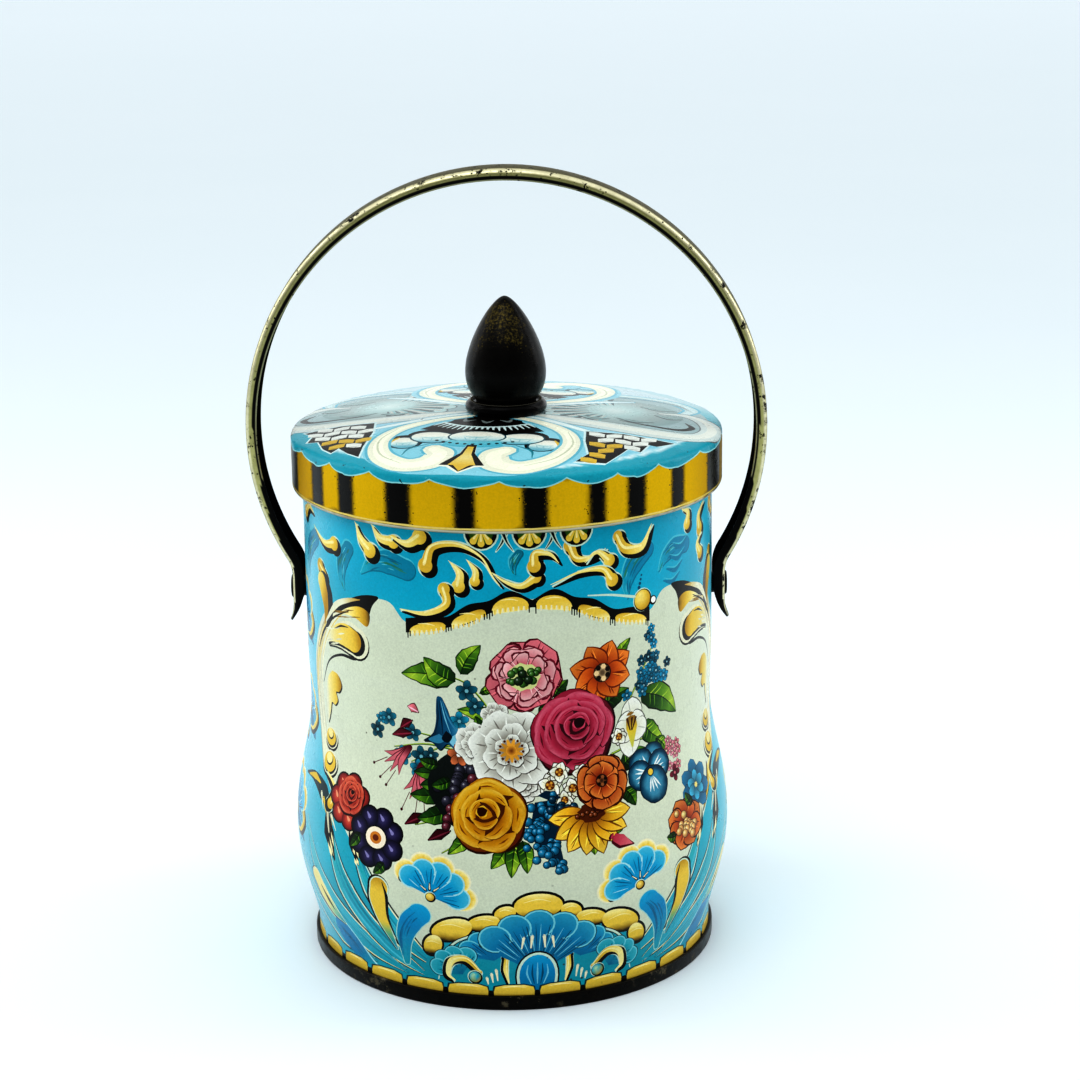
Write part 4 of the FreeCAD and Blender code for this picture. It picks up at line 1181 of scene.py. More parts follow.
def foot_leaves(s, sign, rng):
    """Blue wedge, cream leaf and a small gold scroll outside the blades."""
    at = sided(sign)
    wedge = at((58.5, 15.6), (55.6, 16.0), (51.6, 13.2), (46.4, 7.8), (43.6, 5.6), (50.0, 6.0),
               (56.4, 8.6), (59.4, 12.4), (58.5, 15.6))
    s.add(curve([(x - 0.35 * sign, z + 0.35) for x, z in wedge], 5), flat(PALE))
    s.add(curve(wedge, 5), ramp(at((57, 15))[0], at((45, 6))[0], [(0, BLUE), (0.6, BLUE * 0.92),
            (1, TEAL_LOW)]))
    streaks(s, at((57.0, 13.6), (47.0, 7.0)), 6, 1.6, 0.7, BLUE * 0.8, rng)
    curl = at((64.0, 24.6), (62.0, 21.6), (58.4, 17.8), (54.0, 15.0))
    drop(s, curl, (4.8, 5.4, 4.2, 0.6), 0.8, (0, 0), flat(BLACK))
    drop(s, curl, (4.8, 5.4, 4.2, 0.6), 0.3, (-0.2 * sign, 0.1), flat(CREAM))
    drop(s, curl, (4.2, 4.8, 3.6, 0.4), 0, (-0.15 * sign, 0.1), ramp(curl[0], curl[3],
            [(0, GOLD_LIGHT, 0.6), (0.5, GOLD_LIGHT, 0.6), (1, TEAL_LOW, 0.1)]))
    s.add(ribbon(at((62.2, 23.0), (59.6, 19.8), (57.6, 17.6)), [0.3, 1.2, 0.3], 5), flat(BLACK))
    gold_scroll(s, at((56.8, 46.6), (55.8, 50.8), (60.4, 53.6)), (3.2, 2.2, 0.5), (0.3 * sign, -0.26))
    s.add(ribbon(at((55.4, 52.6), (53.4, 47.4), (48.8, 42.2)), [0.4, 2.0, 0.3], 5), flat(BLACK))
    s.add(ribbon(at((55.6, 52.0), (53.8, 47.6), (49.6, 43.0)), [0.2, 0.9, 0.2], 5), flat(GOLD, 1))


def foot_drops(s, sign, rng):
    """Blue teardrop, and the tall gold drop beside it."""
    at = sided(sign)
    tear = at((28.0, 25.2), (30.8, 22.2), (33.2, 17.0), (33.8, 10.0))
    drop(s, tear, (5.4, 5.6, 4.2, 1.6), 0.5, (0, 0), flat(RIM * 0.8 + TEAL * 0.2))
    drop(s, tear, (5.4, 5.6, 4.2, 1.6), 0, (0, 0), ramp(at((27, 27))[0], at((34, 10))[0],
                                                        [(0, BLUE_SOFT), (0.35, BLUE), (1, TEAL_LOW)]))
    streaks(s, tear, 7, 1.3, 0.4, BLUE * 0.8, rng)
    tall = at((38.8, 30.4), (39.4, 26.4), (38.6, 20.6), (36.2, 13.4))
    drop(s, tall, (5.2, 5.2, 3.4, 0.6), 0.9, (0, 0), flat(BLACK))
    drop(s, tall, (5.2, 5.2, 3.4, 0.6), 0.3, (-0.25 * sign, -0.1), flat(RIM))
    drop(s, tall, (4.8, 4.8, 3.0, 0.4), 0, (-0.2 * sign, -0.1), ramp(at((37, 33))[0], at((38, 15))[0],
            [(0, GOLD_DARK, 1), (0.2, GOLD, 1), (0.7, GOLD, 1), (1, TEAL_LOW, 0.2)]))
    s.add(ribbon(at((37.6, 31.8), (36.6, 28.0), (36.9, 22.0), (35.2, 14.5)), [0.2, 0.9, 0.7, 0.2], 5),
          flat(BLACK))


def foot_fan(s, sign, rng):
    """The fan on the ivory."""
    at = sided(sign)
    c = at((25.0, 30.4))[0]
    shell_fan(s, at((25.0, 30.6))[0], 8.7, 5, 26 if sign > 0 else -16, 170, (BLUE, BLUE_SOFT, PALE),
              rng, hairs=2)
    bead(s, c, 1.0)
    for q in (-30, 0, 30):
        s.add(ribbon([spot(c, 90 + q, 1.9), spot(c, 90 + q * 1.3, 3.7)], [0.75, 0.3], 3), flat(BLACK))
        s.add(ribbon([spot(c, 90 + q, 2.1), spot(c, 90 + q * 1.3, 3.5)], [0.35, 0.15], 3), flat(CREAM))


def shell_crown(s):
    """Body of the large shell and its gold crown."""
    dome = curve([(-29.5, 6.4), (-27.5, 13), (-24, 18), (-17, 22.5), (-9, 25.4), (-3.5, 28.4),
                  (0, 29.2), (3.5, 28.4), (9, 25.4), (17, 22.5),
                  (24, 18), (27.5, 13), (29.5, 6.4)], 6)
    s.add(dome, ramp((0, 29), (0, 6), [(0, BLUE_SOFT), (0.5, TEAL_LOW), (1, TEAL_LOW * 0.95)]))
    crown = [(0, 29.0, 5.6, 3.3, 0), (7.6, 27.2, 2.6, 1.9, -24), (12.6, 24.4, 3.9, 2.1, -14),
             (20.4, 21.8, 5.4, 3.0, -24), (25.6, 16.6, 3.4, 2.2, -62)]
    for x, z, rx, rz, turn in crown:
        for sign in ((1, -1) if x else (1,)):
            s.add(blob((sign * x, z + 0.15), rx + 0.55, rz + 0.55, sign * turn, 22), flat(BLACK))
    for x, z, rx, rz, turn in crown:
        for sign in ((1, -1) if x else (1,)):
            s.add(blob((sign * x, z), rx, rz, sign * turn, 22),
                  ramp((sign * x, z + rz), (sign * x, z - rz), [(0, GOLD_LIGHT, 1), (0.3, GOLD, 1),
                          (0.72, GOLD, 1), (0.95, GOLD_DARK * 0.7, 1), (1, BLACK, 0)]))
            s.add(ribbon([(sign * (x - 0.6 * rx), z + 0.3 * rz), (sign * x, z + 0.55 * rz),
                          (sign * (x + 0.5 * rx), z + 0.3 * rz)], [0.1, 0.3, 0.1], 5),
                  flat(GOLD_LIGHT, 1))


def shell_wing(s, sign, rng):
    """Fans and small scrolls in one half of the large shell."""
    at = sided(sign)
    for w, tone in ((1.0, BLACK), (0.55, RIM)):
        s.add(ribbon(at((3.6, 26.2), (8.2, 23.6), (13.6, 21.4), (19.6, 18.4), (23.6, 13.0),
                        (25.2, 6.8)), [0.2, w, w, w, w, 0.3], 6), flat(tone))
    shell_fan(s, at((10.6, 13.4))[0], 8.4, 4, 12 if sign > 0 else 40, 128, (BLUE * 0.8, BLUE * 0.95,
            PALE * 0.6 + TEAL * 0.4), rng, gold=False)
    shell_fan(s, at((18.8, 8.8))[0], 7.8, 4, 0 if sign > 0 else 60, 120, (BLUE * 0.75, TEAL_LOW,
            PALE * 0.6 + TEAL * 0.4), rng, gold=False)
    gold_scroll(s, at((14.4, 9.8), (17.6, 13.4), (21.2, 12.6), (22.6, 8.6), (20.8, 6.9)),
                (1.6, 2.6, 2.8, 2.0, 0.5), (0.3 * sign, -0.26))
    bead(s, at((15.6, 8.4))[0], 1.5, BLUE_SOFT)
    gold_scroll(s, at((7.6, 14.4), (7.9, 10.6), (7.2, 7.0)), (1.6, 1.9, 0.7), (0.3 * sign, -0.2))
    for k in range(3):
        s.add(ribbon(at((10.2 + 1.2 * k, 10.6 - 1.2 * k), (9.9 + 1.2 * k, 7.6 - 0.5 * k)), [0.8, 0.3],
                     3), flat(CREAM))


def shell_middle(s, rng):
    """The shell's middle fan and the blue bud before it."""
    shell_fan(s, (0, 9.6), 17.2, 5, 34, 112, (BLUE * 0.72, BLUE * 0.9, PALE * 0.7 + TEAL * 0.3), rng,
              gold=False, hairs=4)
    s.add(blob((0, 8.6), 5.6, 7.6, n=26), flat(BLACK))
    s.add(blob((0, 8.6), 5.2, 7.1, n=26), flat(RIM))
    s.add(blob((0, 8.6), 4.5, 6.4, n=24), ramp((0, 15), (0, 3), [(0, BLUE_SOFT), (0.4, BLUE),
            (1, BLUE * 0.8)]))
    for k in range(5):
        x = -2.6 + 1.3 * k
        s.add(ribbon([(x * 0.6, 6.6), (x, 9.4), (x * 0.9, 12.6 - 0.3 * abs(k - 2))], [0.2, 0.5, 0.15],
                     4), flat(BLUE * 0.6 if k % 2 else PALE * 0.7 + BLUE * 0.3))
    for q in (-1, 1):
        s.add(ribbon([(1.4 * q, 20.6), (1.7 * q, 17.2)], [0.8, 0.35], 3), flat(CREAM))
        s.add(ribbon([(3.4 * q, 20.2), (3.9 * q, 17.0)], [0.7, 0.3], 3), flat(CREAM))


def paint_foot(s, rng):
    """Fans, drops, leaf blades and the large shell at the bottom of the panel."""
    for sign in (1, -1):
        foot_blades(s, sign, rng)
        foot_leaves(s, sign, rng)
        foot_drops(s, sign, rng)
        foot_fan(s, sign, rng)
    shell_crown(s)
    for sign in (1, -1):
        shell_wing(s, sign, rng)
    shell_middle(s, rng)


def paint_dashes(s, rng):
    """The gold border at the foot, broken by black gaps."""
    s.add(np.array([(-HALF_WIDE / 2 + 0.001, 1.6), (HALF_WIDE / 2 - 0.001, 1.6), (HALF_WIDE / 2 - 0.001,
            4.9), (-HALF_WIDE / 2 + 0.001, 4.9)]), flat(BLACK))
    count = 14
    step = HALF_WIDE / count
    for k in range(count):
        x = -HALF_WIDE / 2 + step * (k + 0.5)
        w = step * 0.5 - 0.75 - rng.uniform(0, 0.35)
        s.add(np.array([(x - w - 0.5, 4.6), (x + w + 0.4, 4.6), (x + w + 0.2, 6.0), (x + 0.5 * w, 6.7),
                        (x - 0.5 * w, 6.6), (x - w - 0.2, 6.1)]), flat(BLACK * 0.6 + TEAL_DARK * 0.4))
        dash = [(x - w, 2.0), (x + w, 2.0), (x + w + 0.1, 4.8), (x + w - 0.2, 5.8), (x + 0.5 * w, 6.4),
                (x - 0.5 * w, 6.3), (x - w + 0.3, 5.8), (x - w - 0.1, 4.6)]
        s.add(dash, ramp((x, 6.6), (x, 3.4), [(0, GOLD_LIGHT, 1), (0.25, GOLD, 1), (1, GOLD * 0.9, 1)]))
        s.add(ribbon([(x - 0.6 * w, 5.7), (x, 6.0), (x + 0.6 * w, 5.7)], [0.1, 0.4, 0.1], 4),
              flat(GOLD_LIGHT, 1))


def bouquet_greens(s):
    """Stalks and leaves behind the flowers."""
    for points in (((-5, 60), (-14, 68), (-24, 70), (-33, 71)), ((-8, 70), (-11, 78), (-16, 84),
            (-21, 86)), ((-14, 66), (-26, 68), (-36, 66)),
                   ((-15, 67), (-22, 68), (-31, 63)), ((0, 72), (-2, 80), (-2, 84)),
                       ((14, 72), (18, 79), (18, 84)), ((22, 72), (27, 80), (33, 90)),
                   ((20, 64), (30, 66), (39, 63)), ((-16, 50), (-22, 50), (-29, 48)),
                       ((14, 46), (18, 44), (22, 42)), ((-10, 50), (-19, 44), (-22, 42))):
        sprig(s, points, 0.62, rgb(60, 92, 38))
        sprig(s, [(x + 0.1, z + 0.12) for x, z in points], 0.24, LEAF_LIGHT)
    for base, tip, wide, bend, tones in (
            ((-19.5, 84.6), (-33.2, 85.2), 5.6, -1.0, GREENS), ((-19.0, 84.6), (-27.0, 90.0), 5.6, 1.2,
                    GREENS), ((-17.6, 86.6), (-12.6, 94.0), 4.6, 0.8, GREENS),
            ((-13.0, 82.0), (-7.6, 83.0), 2.0, 0.6, GREENS), ((-8.8, 75.2), (-18.6, 77.6), 3.6, -0.5,
                    GREENS), ((3.4, 79.0), (1.6, 74.0), 4.0, 0.6, GREENS),
            ((5.0, 80.2), (8.4, 84.6), 3.0, 0.4, DEEP_GREENS), ((21.4, 87.4), (25.4, 92.6), 2.6, 0.5,
                    GREENS), ((28.6, 77.8), (42.0, 69.8), 6.6, 1.6, GREENS),
            ((29.6, 70.2), (36.6, 64.2), 5.0, -0.8, GREENS), ((17.0, 76.0), (25.0, 80.0), 4.4, 0.6,
                    DEEP_GREENS), ((34.0, 65.0), (38.0, 60.6), 3.0, 0.5, GREENS),
            ((22.6, 60.0), (30.2, 63.6), 4.6, 0.8, DEEP_GREENS), ((-12.5, 60.0), (-24.6, 58.4), 5.4,
                    1.2, DEEP_GREENS), ((-14.0, 57.0), (-26.4, 54.2), 4.6, -0.8, DEEP_GREENS),
            ((-15.0, 48.0), (-20.6, 41.8), 3.4, 0.4, GREENS), ((-21.6, 70.2), (-16.8, 71.2), 2.4, 0.4,
                    GREENS), ((-6.6, 45.4), (-10.6, 38.8), 3.6, 0.4, GREENS),
            ((-4.8, 46.0), (-6.0, 36.6), 3.6, -0.2, GREENS), ((-3.4, 45.6), (-2.4, 37.6), 3.4, 0.3,
                    GREENS), ((14.6, 47.0), (13.4, 40.6), 3.6, -0.6, GREENS),
            ((14.6, 45.8), (21.0, 45.4), 3.4, 0.4, GREENS), ((22.6, 55.0), (25.4, 50.4), 3.6, 0.5,
                    DEEP_GREENS), ((-20.8, 66.8), (-19.6, 62.6), 2.2, 0.3, GREENS),
            ((-9.6, 66.6), (-18.4, 70.2), 3.2, 0.5, DEEP_GREENS), ((10.2, 76.0), (4.4, 72.2), 3.6, 0.4,
                    DEEP_GREENS), ((-12.0, 52.0), (-18.6, 47.4), 4.6, 0.6, DEEP_GREENS)):
        leaf(s, base, tip, wide, bend, tones)


def bouquet_edge(s, rng):
    """Small blue and pink flowers and buds round the edge."""
    for x, z, r in ((-37.4, 73.2, 2.3), (-41.2, 69.4, 2.2), (-30.6, 70.4, 2.2), (-33.6, 64.2, 2.4),
                    (-28.4, 64.6, 2.6), (-29.2, 61.6, 2.2), (-16.2, 82.4, 2.6),
                    (-14.2, 78.6, 2.2), (-18.2, 74.6, 2.4), (-25.8, 65.2, 2.0), (-40.0, 72.6, 1.4)):
        floret(s, (x, z), r, rgb(14, 100, 122) * rng.uniform(0.6, 1.2), rng, 5, rgb(120, 180, 190))
    for path, widths, count, r in ((((31.6, 93.4), (32.4, 87), (30.4, 82), (26, 80)),
                                    (0.9, 2.6, 3.0, 2.4), 26, 1.35), (((36.4, 82.4), (32.2, 80.6)),
            (1.8, 1.2), 8, 1.4)):
        for p in drift(rng, path, widths, count):
            floret(s, p, r * rng.uniform(0.8, 1.15), rgb(6, 98, 126) * rng.uniform(0.5, 1.4), rng, 5,
                   rgb(160, 206, 214))
    for a, b, tone in (((-31.0, 70.2), (-36.4, 69.0), MAROON), ((-30.8, 73.4), (-34.0, 71.2), MAROON),
                       ((-26.6, 50.6), (-31.6, 47.8), MAROON * 0.8),
                       ((-20.4, 47.4), (-25.4, 44.8), MAROON * 0.7), ((-29.0, 76.0), (-31.6, 77.0), PINK)):
        s.add(ribbon([a, ((a[0] + b[0]) / 2, (a[1] + b[1]) / 2 + 0.3), b], [0.9, 2.9, 0.5], 6),
              flat(tone * 0.4))
        s.add(ribbon([a, ((a[0] + b[0]) / 2, (a[1] + b[1]) / 2 + 0.3), b], [0.5, 2.2, 0.2], 6),
              ramp(a, b, [(0, tone * 0.7), (0.5, tone), (1, tone * 1.3)]))
        s.add(ribbon([a, b], [0.2, 0.5, 0.1], 3), flat(np.clip(tone * 1.5 + 0.1, 0, 1)))
    for c, turn in (((-31.6, 66.4), 222), ((-28.4, 62.4), 262)):
        for q in (-26, -9, 9, 26):
            e = spot(c, turn + q, 9.4 - abs(q) * 0.06)
            m = spot(c, turn + q * 0.6, 4.6)
            s.add(ribbon([c, m, e], [1.6, 1.9, 0.2], 5), flat(CRIMSON * 0.5))
            s.add(ribbon([c, m, e], [1.2, 1.4, 0.1], 5),
                  ramp(c, e, [(0, MAROON), (0.4, PINK), (1, PINK * 0.85)]))
        for q in (-14, 4, 16):
            s.add(ribbon([spot(c, turn + q, 7.5), spot(c, turn + q, 12.0)], [0.2, 0.2], 2), flat(MAROON))
            s.add(blob(spot(c, turn + q, 12.2), 0.42, n=6), flat(MAROON * 0.8))
    bell(s, (-23.2, 80.4), (-21.4, 68.6), 5.6, (rgb(6, 36, 58), rgb(14, 92, 130), rgb(120, 190, 210)))
    for _ in range(13):
        p = (39.4 + rng.uniform(-2.6, 3.0), 60.6 + rng.uniform(-4.6, 3.0))
        floret(s, p, 1.25, PINK * rng.uniform(0.85, 1.2), rng, 5, CREAM)
    floret(s, (39.6, 54.8), 1.9, MAROON * 1.1, rng, 4, PINK)


def bouquet_berries(s, rng):
    """Dark berries and foliage left of the middle."""
    for base, tip in (((-20, 62.5), (-30.4, 60.6)), ((-21, 57.0), (-31.0, 55.0)),
                      ((-20, 53.0), (-28.6, 49.6)), ((-21, 60.0), (-28.4, 57.6))):
        leaf(s, base, tip, 4.2, 0.6, DEEP_GREENS)
    s.add(curve([(-10, 70), (-17, 68.5), (-24, 64), (-26.5, 58.5), (-24, 53), (-18, 48), (-10, 50),
                 (-8, 60), (-10, 70)], 6), flat(rgb(20, 26, 24)))
    berries(s, drift(rng, ((-14, 67), (-20, 61), (-17, 52)), (3.6, 4.2, 3.4), 34), 1.35,
            rgb(42, 40, 52), rng)
    berries(s, drift(rng, ((-12, 60), (-18, 52), (-22, 50)), (2.8, 3.0, 2.0), 14), 1.2, rgb(84, 34, 44),
            rng)
    for x, z, turn in ((-20.6, 59.6, 200), (-16.0, 50.6, 240), (-11.6, 71.6, 120), (-23.8, 63.0, 170)):
        leaf(s, (x, z), spot((x, z), turn, 5.2), 2.8, 0.4, DEEP_GREENS, 3)
    floret(s, (-18.6, 66.0), 2.8, rgb(170, 90, 50), rng, 5, WHITE)


def bouquet_upper(s, rng):
    """Pink poppy, orange star flower, white double flowers and the crimson rose."""
    for q, tones in enumerate(((MAROON, CRIMSON * 0.8, PINK * 0.9, PINK), (CRIMSON * 0.7, CRIMSON,
            PINK * 0.95, PINK_PALE), (CRIMSON * 0.6, CRIMSON * 0.9, PINK, PINK_PALE))):
        daisy(s, (-2.2, 86.2), 9.9 - 2.0 * q, (9, 7, 6)[q], tones, rng, eye=0, wide=1.30, notch=1.3,
              blunt=1.5, streak=6, start=12 + 30 * q)
    s.add(blob((-2.4, 86.0), 3.9, 3.4, n=18, lobes=7, deep=0.2), flat(rgb(214, 220, 150)))
    berries(s, drift(rng, ((-5.2, 86.4), (0.6, 85.8)), (2.0, 2.0), 16), 0.85, rgb(54, 96, 34), rng)
    berries(s, [(-2.6, 86.8), (-1.2, 85.2), (-3.6, 85.0)], 1.1, rgb(24, 44, 20), rng)
    # orange star flower
    daisy(s, (17.4, 85.2), 8.2, 8, (rgb(110, 36, 10), rgb(138, 44, 10), rgb(204, 92, 26),
                                    rgb(232, 138, 56)), rng, 0.27,
          (rgb(30, 20, 14), rgb(40, 24, 14), rgb(230, 200, 150)), wide=0.98, streak=5)
    # white ruffled flowers
    ruffled(s, (-14.2, 69.0), 5.4, WHITES, rng)
    ruffled(s, (-2.4, 59.4), 4.6, WHITES, rng)
    ruffled(s, (-9.4, 76.2), 3.6, WHITES, rng, ((1.0, 6), (0.6, 5)))
    ruffled(s, (-5.6, 67.4), 10.4, WHITES, rng, eye_tones=(rgb(80, 34, 10), rgb(120, 60, 16),
            rgb(240, 172, 60)))
    # crimson rose
    rose(s, (10.0, 71.2), 10.6, (MAROON * 0.85, CRIMSON * 0.95, rgb(206, 60, 90), rgb(240, 156, 172)),
         rng, 4)


def bouquet_right(s):
    """White trumpet with a yellow throat, and a blue and white pansy."""
    for deg, reach in ((90, 7.6), (262, 8.4), (20, 4.6), (158, 4.8), (205, 5.6), (330, 5.4)):
        c = (26.0, 70.2)
        s.add(petal_outline(c, deg, 0, reach + 0.3, 6.6, 0.4, 0.9), flat(rgb(96, 98, 86)))
        s.add(petal_outline(c, deg, 0, reach, 6.2, 0.4, 0.9),
              radial(c, reach, [(0, rgb(206, 206, 130)), (0.4, rgb(230, 230, 208)),
                                (1, rgb(248, 248, 240))]))
        s.add(ribbon([spot(c, deg + 8, reach * 0.4), spot(c, deg + 10, reach * 0.85)], [0.1, 0.3, 0.1],
                     3), flat(rgb(176, 178, 164)))
    s.add(ribbon([(25.6, 72.4), (26.0, 69.6), (26.2, 64.8)], [2.8, 3.4, 0.6], 5),
          ramp((25.6, 72), (26.2, 65), [(0, rgb(150, 110, 40)), (0.4, rgb(226, 196, 60)),
                                        (1, rgb(200, 200, 90))]))
    for q in (-1.0, 0.2, 1.2):
        s.add(ribbon([(25.8 + 0.3 * q, 69.0), (25.8 + 1.2 * q, 72.0)], [0.3, 0.6], 3),
              flat(rgb(70, 40, 16)))
    # blue and white pansy
    pansy(s, (31.2, 57.2), 6.8, (rgb(8, 24, 34), rgb(10, 62, 88), rgb(72, 146, 172),
                                 rgb(232, 240, 236)), 12)


def bouquet_middle(s, rng):
    """Small white daisies, a hanging blue cluster and a yellow half daisy."""
    for x, z, r in ((3.6, 58.4, 2.9), (9.2, 57.2, 2.7), (6.0, 61.4, 2.6), (11.6, 60.6, 2.3),
                    (7.0, 54.6, 2.2), (22.2, 68.0, 2.3)):
        daisy(s, (x, z), r, 7, (rgb(70, 62, 40), rgb(214, 206, 150), rgb(240, 238, 214), WHITE), rng, 0.34,
              (rgb(80, 40, 14), rgb(130, 60, 24), rgb(214, 160, 60)), wide=0.95, streak=1)
    # blue grape cluster that hangs from the middle
    s.add(ribbon([(3.0, 54.0), (2.0, 47.0), (5.0, 40.0)], [6.6, 6.6, 2.0], 6), flat(rgb(10, 44, 64)))
    berries(s, drift(rng, ((2.6, 53.6), (0.4, 47.4), (2.0, 42.6), (6.2, 37.4)), (3.6, 3.6, 2.6, 0.9),
                     56), 0.98, rgb(20, 100, 132), rng)
    berries(s, drift(rng, ((5.0, 53.8), (8.6, 51.0)), (2.2, 1.6), 14), 0.95, rgb(12, 52, 72), rng)
    # yellow half daisy behind the brown flower
    daisy(s, (13.2, 50.6), 10.2, 8, (rgb(90, 52, 10), rgb(150, 90, 20), rgb(228, 172, 40),
                                     rgb(246, 206, 80)), rng, 0, start=182, sweep=205, wide=1.05,
          blunt=0.95, streak=4)
    s.add(blob((13.6, 51.0), 3.6, 2.4, 8, 20, 9, 0.25), flat(rgb(84, 36, 12)))
    berries(s, drift(rng, ((10.8, 50.6), (16.8, 51.4)), (1.0, 1.0), 12), 0.55, rgb(110, 52, 20), rng)


def bouquet_lower(s, rng):
    """Brown double flower, yellow rose and a pink bud."""
    daisy(s, (16.8, 57.8), 7.2, 7, BROWNS, rng, eye=0, wide=1.25, notch=0.7, blunt=1.3, streak=4)
    daisy(s, (16.8, 58.0), 4.6, 6, BROWNS, rng, eye=0.3, eye_tones=(rgb(24, 14, 8), rgb(34, 18, 10),
            rgb(150, 90, 50)), wide=1.2, blunt=1.2, streak=3)
    # yellow rose
    rose(s, (-11.2, 51.6), 8.9, (rgb(96, 34, 6), rgb(190, 124, 14), rgb(226, 174, 32),
                                 rgb(248, 220, 120)), rng, 3, (-0.18, 0.10))
    s.add(ribbon([(18.4, 43.8), (20.4, 42.6), (23.6, 41.4)], [2.6, 3.6, 0.4], 5), flat(MAROON))
    s.add(ribbon([(18.6, 44.0), (20.6, 42.9), (23.2, 41.6)], [1.9, 2.8, 0.2], 5),
          ramp((18.6, 44), (23, 41.6), [(0, rgb(190, 60, 80)), (1, PINK)]))


def paint_side_flowers(s, rng):
    """Two pairs of flowers near the corners of the panel."""
    for middle, count, reach, size, tones, shine in (((-49.6, 49.4), 7, 4.6, 2.6,
                                                      (rgb(226, 104, 70), rgb(170, 44, 36),
                                                       rgb(96, 16, 18)), rgb(238, 160, 122)),
                                                     ((-39.8, 42.6), 8, 5.3, 2.7,
                                                      (rgb(72, 64, 118), rgb(34, 28, 62),
                                                       rgb(14, 12, 28)), rgb(140, 134, 184))):
        for grow, paint in ((0.4, flat(BLACK)), (0, None)):
            for k in range(count):
                c = spot(middle, 24 + 360 * k / count, reach)
                s.add(blob(c, size + grow, size * 0.94 + grow, n=16), paint or radial(c, size,
                        [(0, tones[0]), (0.6, tones[1]), (1, tones[2])]))
                if not grow:
                    s.add(ribbon([spot(c, 130, 0.5 * size), c], [0.3, 0.9], 3), flat(shine))
    rose(s, (-49.2, 50.8), 4.8, (rgb(70, 14, 16), rgb(176, 52, 40), rgb(218, 92, 62),
                                 rgb(240, 160, 124)), rng, 3)
    for size, tone in ((3.3, BLACK), (3.0, rgb(250, 236, 210)), (1.7, rgb(206, 128, 44)),
                       (0.9, rgb(110, 44, 16))):
        s.add(blob((-39.6, 42.8), size, size * 0.9, n=18), flat(tone))
    floret(s, (47.4, 49.4), 6.2, rgb(12, 84, 116), rng, 7, rgb(240, 220, 130))
    floret(s, (47.4, 49.4), 3.6, rgb(44, 136, 164), rng, 6, rgb(240, 220, 130))
    daisy(s, (40.8, 41.6), 6.6, 8, BROWNS, rng, eye=0, wide=1.15, blunt=1.2, streak=3)
    berries(s, drift(rng, ((38, 43), (43.6, 40)), (2.4, 2.4), 20), 1.0, rgb(214, 150, 90), rng)
    for base, tip in (((-44.6, 42.8), (-47.6, 38.6)), ((-37.0, 37.0), (-40.0, 33.6)),
                      ((44.2, 45.4), (42.0, 49.0)), ((36.8, 39.8), (33.6, 40.2))):
        leaf(s, base, tip, 2.4, 0.3, DEEP_GREENS, 2)


def paint_bouquet(s, rng):
    """The bunch of flowers on the ivory, from the back to the front."""
    bouquet_greens(s)
    bouquet_edge(s, rng)
    bouquet_berries(s, rng)
    bouquet_upper(s, rng)
    bouquet_right(s)
    bouquet_middle(s, rng)
    bouquet_lower(s, rng)


def draw_body():
    s, rng = Sheet(HALF_WIDE), np.random.default_rng(11)
    s.add(panel_edge(), lambda p: stops_at(p[:, 1] / 110, [(0, IVORY * 0.97), (0.5, IVORY),
            (1, IVORY * 0.985)]))
    paint_between(s, rng)
    paint_band(s, rng)
    paint_lambrequin(s, rng)
    paint_side_scrolls(s, rng)
    paint_foot(s, rng)
    paint_dashes(s, rng)
    paint_bouquet(s, rng)
    paint_side_flowers(s, rng)
    return s


# ---- the lid's print: plan of the top from above, with the skirt folded outwards as a wider ring ----
DOME_R = ((LID_R - LID_EDGE_R) ** 2 + (LID_CROWN - LID_EDGE_Z) ** 2) / (2 * (LID_CROWN - LID_EDGE_Z))
EDGE_TILT = math.asin((LID_R - LID_EDGE_R + 0.17) / DOME_R)
TOP_REACH = DOME_R * EDGE_TILT      # flat distance from the middle to the rounded edge
SKIRT_START = TOP_REACH + LID_EDGE_R * (math.pi / 2 - EDGE_TILT)
SKIRT_END = SKIRT_START + (LID_EDGE_Z - LID_EDGE_R) - (LID_BOTTOM + LID_HEM_R)
BARS = ((-72.8, 8.4), (-54.8, 4.2), (-43.0, 4.0), (-27.0, 5.4), (-10.2, 3.7), (6.4, 4.8), (21.6, 3.0),
        (32.4, 4.0), (46.2, 3.6), (66.4, 10.2),
        (86.0, 4.6), (101.0, 3.6), (115.4, 5.0), (129.0, 3.4), (143.6, 4.6), (158.6, 3.8),
            (-150.0, 4.6), (-134.6, 3.6), (-119.4, 5.0), (-105.0, 4.0),
        (-90.0, 4.6))
FRONT = -math.pi / 2 + VIEW_TURN


def ring_point(girth, down):
    """Chart point on the skirt: girth mm round from the front at the lid's radius, down mm below the edge."""
    a, q = FRONT + girth / LID_R, SKIRT_START + down
    return (q * math.cos(a), q * math.sin(a))


def lid_ground(p):
    """Gold skirt with soft dark bars."""
    a = np.arctan2(p[:, 1], p[:, 0]) - FRONT
    girth = (np.mod(a + math.pi, TAU) - math.pi) * LID_R
    dark = np.zeros(len(p))
    for x, w in BARS:
        away = np.abs(np.mod(girth - x + math.pi * LID_R, TAU * LID_R) - math.pi * LID_R)
        dark = np.maximum(dark, np.clip((w / 2 + 1.25 - away) / 1.7, 0, 1))
    return stops_at(dark, [(0, SKIRT_GOLD, 1), (0.35, SKIRT_GOLD * 0.72, 0.9), (0.8, BLACK * 1.3, 0.1),
                           (1, BLACK, 0)])


def sector(c, r0, r1, a0, a1, n=12):
    a = np.radians(np.linspace(a0, a1, n))
    out = np.stack([c[0] + r1 * np.cos(a), c[1] + r1 * np.sin(a)], 1)
    back = np.stack([c[0] + r0 * np.cos(a[::-1]), c[1] + r0 * np.sin(a[::-1])], 1)
    return np.concatenate([out, back])


